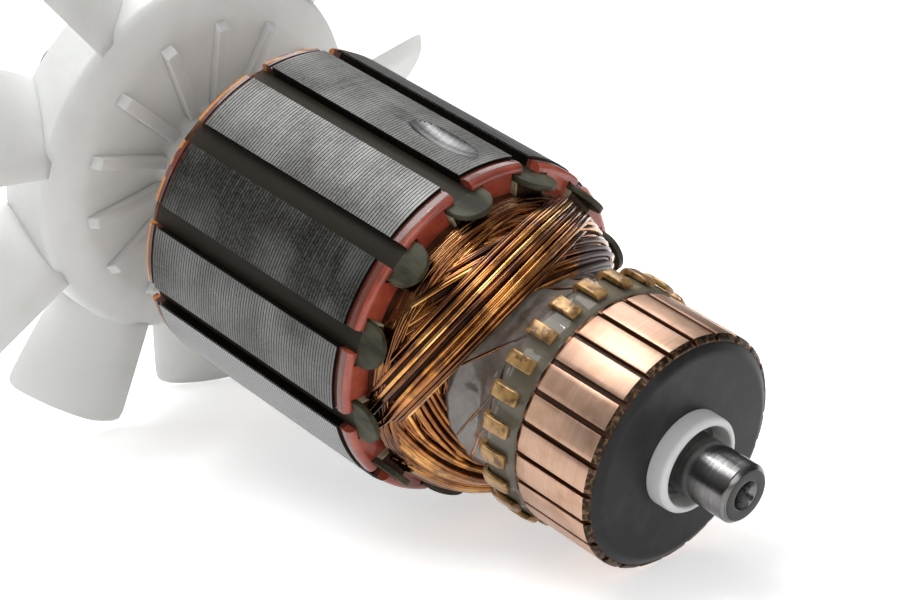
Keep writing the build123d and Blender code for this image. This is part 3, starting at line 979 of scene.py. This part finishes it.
# %% Turn one commutator bar
bar_count, riser_rear, riser_radius = 24, 20.2, 15.7
bar_pitch = 360 / bar_count
bar_arc = bar_pitch - degrees(0.7 / track_radius)
track_rear, track_chamfer, foot_radius = 25.6, 0.6, 11.6
foot_inset = 2.4
foot_front, foot_rear = bar_front - foot_inset, riser_rear + foot_inset


def bar_body():
    """Copper bar at the top."""
    corners = [
        (riser_rear, ledge_radius),
        (riser_rear, riser_radius),
        (track_rear, riser_radius),
        (track_rear, track_radius),
        (bar_front - track_chamfer, track_radius),
        (bar_front, track_radius - track_chamfer),
        (bar_front, ledge_radius),
        (foot_front, ledge_radius),
        (foot_front, foot_radius),
        (foot_rear, foot_radius),
        (foot_rear, ledge_radius),
    ]
    bar = turned(corners, steps=5, sweep=bar_arc)
    bar.transform(around(-bar_arc / 2))
    break_edges(bar, 0.13, lambda e: all(v.co.yz.length > ledge_radius + 0.1 for v in e.verts))
    return bar


print("bar arc", round(bar_arc, 2))

# %% [markdown]
# Behind its track each bar ends in a hook that is folded forward over the lead wires and pressed
# flat by the welding electrode. Its side view is pushed to the hook's width, which is easier than
# bending a strip and shows the same.

# %% Fold one hook
hook_rear, hook_length, hook_width, hook_thickness, hook_throat = 19.6, 4.6, 1.9, 0.8, 0.75


def hook_body():
    """Hook at the top, with a throat for the wires."""
    top, tip = riser_radius + hook_throat + hook_thickness, hook_rear + hook_length
    bend = hook_throat / 2 + hook_thickness
    middle = (hook_rear + bend, top - bend)
    points = arc(middle, bend, start=-90, step=-15, count=13)
    points += [(tip - 1.2, top - 0.02), (tip - 0.4, top - 0.14), (tip, top - 0.42)]
    points += [(tip - 0.05, top - hook_thickness)]
    points += arc(middle, hook_throat / 2, start=90, step=45, count=5)
    points += [(middle[0] + 2.5, middle[1] - low) for low in (hook_throat / 2, bend)]
    hook = pushed([(x, hook_width / 2, r) for x, r in points], (0, -hook_width, 0))
    break_edges(hook, 0.2, lambda e: abs(e.verts[0].co.y - e.verts[1].co.y) < 0.01, segments=3, angle=50)
    for face in hook.faces:
        face.material_index = 1
    return hook


print("hook stands", round(riser_radius + hook_throat + hook_thickness, 2), "mm from the axis")

# %% [markdown]
# Bar and hook are one piece of copper, so their bodies are added before the piece is settled. The
# array of 24 is a plain loop, because each piece replaces a solid of its own.

# %% Set the bars round the commutator
def added(bm, other, matrix=unmoved):
    """Adds another body to this one, placed by a matrix."""
    mesh = meshed(other)
    mesh.transform(matrix)
    bm.from_mesh(mesh)
    bpy.data.meshes.remove(mesh)


copper = [bar_copper, hook_copper]
for number in range(1, bar_count + 1):
    bar = bar_body()
    added(bar, hook_body())
    bar.transform(around(bar_pitch * (number - 0.5)))
    piece(f"copper_bar_{number:02d}", bar, copper, [f"commutator_bar_{number:02d}"])

# %% [markdown]
# The black body fills the inside of the commutator and shows as a ring in front of the bars and as
# the floor of the gaps between them. What it hides needs no detail, so it is one turned ring.

# %% Turn the commutator's body
body_rear, body_face, body_radius, face_radius = 18.6, 38.4, 15.3, 14.1
body = turned(
    [
        (body_rear, seat_radius),
        (body_rear, ledge_radius - 0.05),
        (riser_rear, ledge_radius - 0.05),
        (riser_rear, body_radius),
        (bar_front, body_radius),
        (body_face, face_radius),
        (body_face, seat_radius),
    ],
    {4: 0.25, 5: 0.4},
    steps=144,
)
piece("phenolic_body", body, [phenolic], ["commutator_moulding"])

# %% [markdown]
# Dip resin has crept from the winding head up to the hooks. Sculpting would not repeat, so it is
# spun as a cone and a collar and then moved by noise, and it sags between the hooks.

# %% Spin the resin and make it uneven
resin_profile = [(10.6, seat_radius), (10.6, 14.3), (12.0, 14.9), (13.8, 14.3), (16.0, 13.8)]
resin_profile += [(18.0, 14.2), (19.3, 14.9), (20.1, 15.9), (21.0, 16.2), (22.5, 16.25), (24.0, 16.2)]
resin_profile += [(24.8, 15.95), (25.0, riser_radius), (riser_rear, ledge_radius)]
resin_profile += [(body_rear, ledge_radius), (body_rear, seat_radius)]
skin_radius, collar_start, collar_end = 12.1, 19.5, 25.1
lump_height, ripple_height, sag_depth = 0.55, 0.12, 0.16


def resin_swell(point):
    """How far the uneven resin stands out from its turned profile at this point."""
    turn = degrees(atan2(-point.y, point.z))
    lumps = noise.noise(point * 0.25) * lump_height + noise.noise(point * 0.8) * ripple_height
    on_collar = max(0.0, min(1.0, (point.x - collar_start) / 1.5))
    sag = sag_depth * cos(radians(bar_count * (turn - bar_pitch / 2))) * on_collar
    return lumps * (1 - 0.75 * on_collar) + sag - 0.05


resin = turned(resin_profile, steps=192)
skin = {v for v in resin.verts if v.co.yz.length > skin_radius and v.co.x < collar_end}
outer = [e for e in resin.edges if skin.issuperset(e.verts)]
lengthwise = [e for e in outer if abs(e.verts[0].co.x - e.verts[1].co.x) > 0.3]
bmesh.ops.subdivide_edges(resin, edges=lengthwise, cuts=3, use_grid_fill=True)
for v in resin.verts:
    if v.co.yz.length > skin_radius:
        v.co.yz = v.co.yz * (1 + resin_swell(v.co) / v.co.yz.length)
piece("resin_cone", resin, [resin_finish], ["binding_resin"], sharp=60)

# %% [markdown]
# The winding has twelve coils. Each leaves one slot, bends over the head and enters the slot five
# pitches on. It is drawn as single wires, since a solid bundle would look cast, and the wires
# stand at places on a hexagon and a smaller one inside it.

# %% Place the wires in a bundle
wire_radius, half_span, foot_station, coil_levels = 0.375, 75.0, 3.4, 6
bundle_sides = (((1.62, -1.7), 5), ((1.62, 1.7), 3), ((0.0, 3.05), 3))
bundle_sides += (((-1.62, 1.7), 5), ((-1.62, -1.7), 3), ((0.0, -3.05), 3))
inner_share = 0.62
bundle_places = []
for (start, count), (end, _) in zip(bundle_sides, bundle_sides[1:] + bundle_sides[:1]):
    bundle_places += [Vector(start).lerp(Vector(end), step / count) for step in range(count)]
bundle_places += [outer_place * inner_share for outer_place in bundle_places[::2]]
print("wires in a bundle", len(bundle_places))

# %% [markdown]
# A coil's head is an arc through both slots and its crown. The coils wound later climb over the
# earlier ones, so crown and feet rise level by level. Three points fix such an arc.

# %% Shape the arc of a coil
front_crowns = ((9.9, 13.8), (13.4, 16.6))
rear_crowns = ((6.0, 13.4), (7.6, 14.7))
lowest_feet, feet_rise, rear_feet_drop, early_drop = 15.6, 3.2, 0.8, 1.1


def coil_arc(level, middle, at_rear):
    """Centre, radius, directions and half angle of one coil's arc, and the radius of its feet."""
    share = max(0.0, (level - 2) / 3)
    lowered = max(0, 2 - level) * early_drop
    feet_radius = lowest_feet + feet_rise * level / (coil_levels - 1)
    if at_rear:
        feet_radius -= rear_feet_drop
    crowns = rear_crowns if at_rear else front_crowns
    station, radius = (low + share * (high - low) - lowered for low, high in zip(*crowns))
    crown = spot(station, radius, middle)
    first = spot(foot_station, feet_radius, middle - half_span)
    last = spot(foot_station, feet_radius, middle + half_span)
    chord = (last - first) / 2
    rise = crown - (first + last) / 2
    radius = (chord.length_squared + rise.length_squared) / (2 * rise.length)
    centre = crown - rise.normalized() * radius
    half_angle = atan2(chord.length, rise.length - radius)
    return centre, radius, rise.normalized(), chord.normalized(), half_angle, feet_radius


for level in range(coil_levels):
    print("level", level, "arc radius", round(coil_arc(level, 0, at_rear=False)[1], 2))

# %% [markdown]
# Real wires don't keep their places. Each drifts to a neighbour's place on its way, a little loose in
# the middle of the arc, and its ends go straight down into the slots.

# %% Lay one wire along the arc
looseness, kept_arc = 0.16, 0.87
foot_stations, foot_depth, foot_width = (-1.5, 1.2, 3.2), 0.95, 0.8


def coil_wire(level, middle, at_rear, start, end, chance, steps=9):
    """Points of one wire from slot to slot, drifting from one place in the bundle to another."""
    centre, radius, up, onward, half_angle, feet_radius = coil_arc(level, middle, at_rear)
    side = onward.cross(up)
    outermost = level == coil_levels - 1
    spread = 0.1 if outermost or at_rear else 0.45
    shift = 0.0 if at_rear else 0.9 if outermost else 0.3
    feet = []
    for end_turn, offset in ((middle - half_span, start), (middle + half_span, end)):
        sideways = spot(0, 1, end_turn + 90)
        across = offset.y * side.dot(sideways) * foot_width
        stacked = feet_radius + offset.x * foot_depth
        bases = [spot(station, stacked, end_turn) for station in foot_stations]
        feet.append([base + sideways * across for base in bases])
    head = []
    for step in range(steps):
        share = step / (steps - 1)
        angle = kept_arc * half_angle * (2 * share - 1)
        bulge = sin(pi * share)
        loose = looseness * bulge
        drift = start.lerp(end, share)
        out = drift.x + chance.uniform(-loose, loose)
        across = drift.y * (1 + spread * bulge) + shift * bulge + chance.uniform(-loose, loose)
        outwards = up * cos(angle) + onward * sin(angle)
        head.append(centre + outwards * (radius + out) + side * across)
    return feet[0] + head + feet[1][::-1]


print("points on a wire", len(coil_wire(0, 0, False, bundle_places[0], bundle_places[0], Random(0))))

# %% [markdown]
# A curve with a round bevel draws many wires at once. It becomes a mesh here, because only a mesh
# can carry a tone for each wire, and that is what keeps neighbours apart to the eye.

# %% Draw strands
def strand_piece(name, wires, radius, finish_used, resolution=3, palest=1.0, side=unmoved):
    """Round strands, one per list of points, each with a tone of its own in an attribute."""
    curve = bpy.data.curves.new(name, "CURVE")
    curve.dimensions = "3D"
    curve.bevel_depth = radius * millimetre
    curve.bevel_resolution = 1
    curve.resolution_u = resolution
    curve.use_fill_caps = True
    for points in wires:
        spline = curve.splines.new("NURBS")
        spline.points.add(len(points) - 1)
        for point, place in zip(spline.points, points):
            point.co = (*(bench @ (side @ place)), 1)
        spline.order_u = 4
        spline.use_endpoint_u = True
        spline.use_smooth = True
    mesh = applied(shown("drawn_wire", curve))
    mesh.name = name
    per_wire = len(mesh.vertices) // len(wires)
    tones = [palest * Random(number * 7 + len(name)).random() for number in range(len(wires))]
    strand = mesh.attributes.new("strand", "FLOAT", "POINT")
    strand.data.foreach_set("value", [tones[v // per_wire] for v in range(per_wire * len(wires))])
    mesh.shade_smooth()
    mesh.materials.clear()
    settle(name, mesh, [finish_used])


print("a strand is", 2 * wire_radius, "mm thick")

# %% [markdown]
# The winder lays two opposite coils at a time, level after level. A seed of its own for each end keeps the
# wires the same in every run. A core painted dark as shade in each bundle closes the gaps between wires.

# %% Wind the coils at both ends
swaps, filling_radius, opposite = (0, 0, 1, 1, -1), 1.15, (0, 180)
# Lower levels get darker tones, painted shade under the coils wound over them.
lowest_tone, tone_rise = 0.6, 0.09
for end_name, at_rear, side, seed, size, resolution in (
    ("front", False, unmoved, 3, 1.0, 3),
    ("rear", True, flip, 7, 0.8, 2),
):
    chance = Random(seed)
    for level in range(coil_levels):
        wires, cores = [], []
        for half_turn in opposite:
            middle = (level - coil_levels + 2) * slot_pitch + half_turn
            for number, offset in enumerate(bundle_places):
                other = bundle_places[(number + chance.choice(swaps)) % len(bundle_places)]
                wires.append(coil_wire(level, middle, at_rear, offset * size, other * size, chance))
            for across in (-1.5, 0.0, 1.5):
                inside = Vector((0.0, across))
                cores.append(coil_wire(level, middle, at_rear, inside, inside, Random(1)))
        palest = lowest_tone + tone_rise * level
        name = f"{end_name}_coils_{level + 1}"
        strand_piece(name, wires, wire_radius, wire_copper, resolution, palest, side)
        name = f"{end_name}_coil_filling_{level + 1}"
        strand_piece(name, cores, filling_radius, varnish_and_shade_fill, side=side)

# %% [markdown]
# Under the last bundles the earlier wires lie flat on the head, each pulled tight from slot to slot,
# and they cover it from the end plate up to the resin. An arc would cut through the head, so these
# wires follow its profile instead.

# %% Lay one tight wire
slot_mouth_start, start_radius, lowest_top, profile_start = -1.0, 18.6, 4.0, 2.35
entry_station, entry_radius, rise_start, fan_out = 1.8, 18.8, 3.0, 3.6


def tight_wire(middle, place, head_shape, chance):
    """Points of one wire that hugs the head between two slots."""
    reach, widest, shoulder, slope = head_shape
    top = lowest_top + (reach - lowest_top) * place + chance.uniform(-0.3, 0.3)
    across = fan_out * (place - 0.5)
    lift = chance.uniform(0.0, 0.35)
    start, end = middle - half_span, middle + half_span
    points = [spot(slot_mouth_start, start_radius, start)]
    points.append(spot(entry_station, entry_radius, start + across * 1.2))
    for step in range(9):
        share = step / 8
        bulge = sin(pi * share)
        station = rise_start + (top - rise_start) * bulge**0.75
        slant = across * 1.6 * cos(pi * share)
        radius = widest - 0.12 * (min(station, shoulder) - profile_start)
        radius += lift - max(0.0, station - shoulder) * slope - 0.9 * (1 - bulge) ** 2
        turn = start + (end - start) * share + slant + chance.uniform(-0.4, 0.4)
        points.append(spot(station + chance.uniform(-0.12, 0.12), radius, turn))
    points.append(spot(entry_station, entry_radius, end - across * 1.2))
    points.append(spot(slot_mouth_start, start_radius, end))
    return points


front_head, rear_head = (10.8, 20.3, 5.5, 1.12), (7.2, 20.7, 4.3, 1.5)
print("points on a tight wire", len(tight_wire(0, 0.5, front_head, Random(0))))

# %% [markdown]
# Fifteen such wires to a coil and a coil to every slot hide what lies below. The rear head is
# flatter, so its wires get a profile of their own and are flipped to the rear.

# %% Cover both heads with tight wires
tight_wires_per_coil = 15

for name, side, head_shape in (
    ("front_tight_wires", unmoved, front_head),
    ("rear_tight_wires", flip, rear_head),
):
    chance = Random(23)
    wires = []
    for coil in range(slot_count):
        for number in range(tight_wires_per_coil):
            place = (number + 0.5) / tight_wires_per_coil
            wires.append(tight_wire(slot_pitch * coil, place, head_shape, chance))
    # Their tones stop short of the top coils' as painted shade under the bundles.
    strand_piece(name, wires, wire_radius, wire_copper, resolution=2, palest=0.75, side=side)

# %% [markdown]
# Inside the arcs each head is a barrel of packed wire under varnish, and the slots are full of the same.
# Wires that no one can see are left out, and this body, painted dark as shade, closes the gaps instead.

# %% Fill the heads and the slots
barrel_bore, fill_top, fill_floor, fill_overlap, paper_gap = 7.2, 21.2, 12.4, 3.2, 0.4
filling = bmesh.new()
for shoulder, face, side in ((6.0, 11.8, unmoved), (4.4, 8.0, flip)):
    corners = [(profile_start, barrel_bore), (profile_start, 19.8), (shoulder, 19.4)]
    corners += [(face - 0.4, 13.0), (face, barrel_bore)]
    added(filling, turned(corners, {2: 1.0, 3: 0.8}), side)
slot_section = [(-slot_half_width(out, paper_gap), out) for out in (fill_floor, fill_top)]
slot_section += [(-across, out) for across, out in slot_section[::-1]]
for slot in range(slot_count):
    section = [(-core_length - fill_overlap, across, out) for across, out in slot_section]
    side_of_coil = pushed(section, (core_length + 2 * fill_overlap, 0, 0))
    added(filling, side_of_coil, around(slot_pitch * (slot + 0.5)))
piece("winding_filling", filling, [varnish_and_shade_fill], ["winding"])

# %% [markdown]
# From the head two wire ends run to every hook. Most are drowned in the resin and a few stand on
# it, so each follows the swollen resin at its own depth and turns into the hook's throat.

# %% Lead the wire ends to the hooks
def resin_point(station, turn, sunk):
    """Point at a depth under the uneven resin."""
    for (start, low), (end, high) in zip(resin_profile, resin_profile[1:]):
        if start <= station <= end and start < end:
            radius = low + (high - low) * (station - start) / (end - start)
            break
    return spot(station, radius + resin_swell(spot(station, radius, turn)) - sunk, turn)


lead_radius, lead_run, first_dip, depths = 0.2, 8.4, 0.25, (-0.03, 0.7, 0.7, 0.7)
chance = Random(11)
leads = []
for number in range(bar_count):
    bar_turn = bar_pitch * (number + 0.5)
    for strand in (-1, 1):
        sweep_back = chance.uniform(34, 66)
        sunk = chance.choice(depths)
        points = [spot(7.5, 12.6, bar_turn + sweep_back * 1.25)]
        for share in (1.0, 0.84, 0.68, 0.52, 0.36, 0.2, 0.08):
            dip = first_dip if share == 1.0 else 0.0
            station, turn = hook_rear - lead_run * share, bar_turn + sweep_back * share
            points.append(resin_point(station, turn, sunk + dip))
        in_hook = bar_turn + strand * 1.3
        leads.append(points + [spot(20.6, 16.0, in_hook), spot(23.2, 16.05, in_hook)])
strand_piece("lead_wires", leads, lead_radius, wire_copper)

# %% [markdown]
# The fan is one nylon moulding: a dished hub with ribs on both faces and pitched blades. The hub's
# section is the same all round, so it is turned, and a mould's small rounds are in its profile.

# %% Turn the fan's hub
fan_front, fan_back, fan_radius, hub_radius, boss_radius = -57.0, -65.8, 43.1, 27.5, 9.0
dish_front, dish_radius, rim_wall, web = fan_front + 2.0, 21.5, 1.8, 1.8
hub_inner = hub_radius - rim_wall
fan = turned(
    [
        (tube_rear, tube_bore),
        (tube_rear, boss_radius),
        (dish_front, boss_radius),
        (dish_front, dish_radius),
        (fan_front, hub_radius - 0.7),
        (fan_front - 0.7, hub_radius),
        (fan_back, hub_radius),
        (fan_back, hub_inner),
        (fan_front - web, hub_inner),
        (dish_front - web, dish_radius),
        (dish_front - web, boss_radius),
        (fan_back, boss_radius),
        (fan_back, tube_bore),
    ],
    {1: 0.5, 2: 0.8, 3: 1.0, 4: 0.5, 5: 0.3, 6: 0.3, 7: 0.3, 8: 0.4, 10: 0.5, 11: 0.3},
    steps=144,
)
print("fan hub", len(fan.faces), "faces")

# %% [markdown]
# Ribs stiffen the thin web: fourteen in the dish, nine behind it. Each is a small pushed plate that
# runs into the hub, as the melt would, and the same helper sets both rings.

# %% Add the fan's ribs
def ribs(corners, width, round_size, segments, count, first_turn):
    """Adds a ring of straight ribs to the fan."""
    for number in range(count):
        rib = pushed([(x, width / 2, r) for x, r in corners], (0, -width, 0))
        break_edges(rib, round_size, segments=segments)
        added(fan, rib, around(first_turn + number * 360 / count))


rib_root, rib_top = dish_front - 0.5, dish_front + 1.2
front_rib = [(rib_root, 8.5), (rib_top, 8.5), (rib_top, dish_radius - 1.0)]
front_rib += [(dish_front - 0.1, dish_radius), (rib_root, dish_radius)]
ribs(front_rib, 1.9, 0.3, 3, count=14, first_turn=23.1)
inside_web = fan_front - web + 0.3
back_rib = [(fan_back, 8.7), (inside_web, 8.7), (inside_web, 26.0), (fan_back, 26.0)]
ribs(back_rib, 1.4, 0.2, 2, count=9, first_turn=2.0)
print("fan", len(fan.faces), "faces before its blades")

# %% [markdown]
# Nine pitched blades stand on the hub's rim, cambered and thinner towards the back. A bent plate
# would keep one thickness, so each blade starts as outlines drawn on cylinders, two curved sides
# that meet the front and the back of the fan.

# %% Draw a blade's outline
blade_root, sweep_end = 26.6, 44.1
root_sweep, tip_sweep, front_thickness, back_thickness, belly = 25.3, 21.9, 2.7, 1.9, 1.28


def blade_ring(radius, trim):
    """Outline of one blade on a cylinder; trim shortens its two ends."""
    outward = (radius - blade_root) / (sweep_end - blade_root)
    sweep = root_sweep + outward * (tip_sweep - root_sweep)
    front_edge = radius * tan(radians(tip_sweep / 2))
    back_edge = -radius * tan(radians(sweep - tip_sweep / 2))
    left, right = [], []
    for step in range(11):
        station = fan_back + trim + (fan_front - fan_back - 2 * trim) * step / 10
        lean = (station - fan_back) / (fan_front - fan_back)
        bow = 4 * belly * lean * (1 - lean)
        left_x = back_edge + (front_edge - front_thickness - back_edge) * lean - bow
        right_x = back_edge + back_thickness + (front_edge - back_edge - back_thickness) * lean - bow
        left.append(spot(station, radius, degrees(atan2(left_x, radius))))
        right.append(spot(station, radius, degrees(atan2(right_x, radius))))
    return left + right[::-1]


print("points round a blade", len(blade_ring(blade_root, 0)))

# %% [markdown]
# The outlines are bridged from inside the hub to the tip. The last three are drawn in, so that the
# tip is round, and the long edges are broken as on every moulding.

# %% Loft the blades
blade_count, first_blade = 9, 2.0
blade_stages = ((blade_root, 0), (29, 0), (33, 0), (37, 0), (41, 0), (42.3, 0.12), (42.85, 0.45))
blade_stages += ((fan_radius, 1.0),)


def blade_body():
    """One blade lofted from inside the hub's rim to its rounded tip."""
    bm = bmesh.new()
    rings = [loop(bm, blade_ring(radius, trim)) for radius, trim in blade_stages]
    for lower, upper in zip(rings, rings[1:]):
        bmesh.ops.bridge_loops(bm, edges=lower + upper)
    close_ends(bm)
    outward = {e for e in bm.edges if abs(e.verts[0].co.yz.length - e.verts[1].co.yz.length) > 0.2}
    break_edges(bm, 0.35, lambda e: e in outward, segments=3, angle=40)
    return bm


for blade in range(blade_count):
    added(fan, blade_body(), around(first_blade - tip_sweep / 2 + blade * 360 / blade_count))
piece("nylon_fan", fan, [nylon], ["fan"], sharp=40)

# %% [markdown]
# The armature lies on plain white. Strong light would whiten the floor but wash out the underside,
# so the floor glows for the camera and for mirrors, and far less for the rest.

# %% Lay the floor
floor_half, floor_gap = 3.0, 0.0002
floor_body = bmesh.new()
bmesh.ops.create_grid(floor_body, x_segments=2, y_segments=2, size=floor_half)
bmesh.ops.translate(floor_body, verts=floor_body.verts[:], vec=(0, 0, size_before[0].z - floor_gap))
floor_finish, tree, shader = finish("floor_white", (0.86, 0.86, 0.86), 0.9, Emission_Strength=0.55)
seen = put(tree, "ShaderNodeLightPath").outputs
seen_plainly = maths("MAXIMUM", seen["Is Camera Ray"], seen["Is Glossy Ray"])
soft_spots = put(tree, "ShaderNodeTexNoise", Scale=3.0).outputs["Fac"]
feed(
    shader,
    Base_Color=ramp(soft_spots, (0.0, grey(0.86)), (1.0, grey(0.88))),
    Emission_Color=mix(seen_plainly, grey(0.14), grey(1.0)),
)
floor = shown("floor", meshed(floor_body, "floor"))
floor.data.materials.append(floor_finish)
floor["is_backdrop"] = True
print("floor at", round(size_before[0].z - floor_gap, 4))

# %% [markdown]
# Polished metal shows what stands round it. A white studio would make the steel flat, so the camera
# sees white while the metal sees a dome that is dark near the floor and paler above.

# %% Surround it with a soft dome
world = bpy.data.worlds.new("studio")
world.use_nodes = True
scene.world = world
sky = world.node_tree
ways = put(sky, "ShaderNodeTexCoord").outputs["Generated"]
height = put(sky, "ShaderNodeSeparateXYZ", Vector=ways).outputs["Z"]
dome = ramp(height, (0.0, grey(0.06)), (0.3, grey(0.09)), (0.6, grey(0.35)), (1.0, grey(0.55)))
to_camera = put(sky, "ShaderNodeLightPath").outputs["Is Camera Ray"]
feed(sky.nodes["Background"], Color=mix(to_camera, dome, grey(1.0)))
print("dome in", world.name)

# %% [markdown]
# Large soft boxes give the long highlights on the shaft and the bars. One hangs overhead as the key,
# three fill the far, left and front sides, and a small one adds the glints on the wires.

# %% Hang the soft boxes
low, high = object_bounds()
middle = (low + high) / 2
for name, direction, distance, size, power in (
    ("key_box", (-0.3, -0.1, 1.0), 0.6, (0.5, 0.35), 2.6),
    ("far_box", (-0.5, 0.65, 0.7), 0.7, (0.3, 0.3), 0.9),
    ("left_box", (-1.0, -0.9, 0.3), 0.8, (0.3, 0.3), 0.6),
    ("front_box", (1.0, -0.2, 0.35), 0.9, (0.5, 0.4), 1.6),
    ("glint_box", (-0.1, -0.15, 1.0), 0.7, (0.06, 0.06), 0.35),
):
    lamp = bpy.data.lights.new(name, "AREA")
    lamp.shape = "RECTANGLE"
    lamp.size, lamp.size_y = size
    lamp.energy = power
    box = shown(name, lamp)
    way = Vector(direction).normalized()
    box.location = middle + way * distance
    box.rotation_euler = way.to_track_quat("Z", "Y").to_euler()
    print(name, power)

# %% [markdown]
# The camera's place comes from a fit to points on the core, the commutator, the fan and the shaft,
# which beats moving it by eye. The fit was made along the shaft, so its numbers are turned back to
# the bench.

# %% Stand the camera
fit_turn, lens_mm, sensor_mm = 7.6, 109.6, 36.0
eye_along, eye_up, eye_side = Vector((1, 0, 0)), spot(0, 1, fit_turn), spot(0, 1, fit_turn + 90)


def eye_vector(along, up, side):
    """Vector given along the shaft and two directions square to it."""
    return eye_along * along + eye_up * up + eye_side * side


lens = bpy.data.cameras.new("camera")
lens.lens = lens_mm
lens.sensor_width = sensor_mm
lens.clip_start, lens.clip_end = 0.02, 20.0
camera = shown("camera", lens)
eye_right = eye_vector(0.67249, -0.01956, -0.73985)
eye_upward = eye_vector(-0.41908, 0.81389, -0.40244)
eye_backward = eye_vector(0.61003, 0.58069, 0.53913)
eye_turn = Matrix((eye_right, eye_upward, eye_backward)).transposed().to_4x4()
eye_place = bench @ eye_vector(214.75, 209.91, 193.30)
camera.matrix_world = Matrix.Translation(eye_place) @ bench_turn @ eye_turn
scene.camera = camera
scene.view_settings.view_transform = "Standard"
print("camera at", [round(c, 3) for c in eye_place])
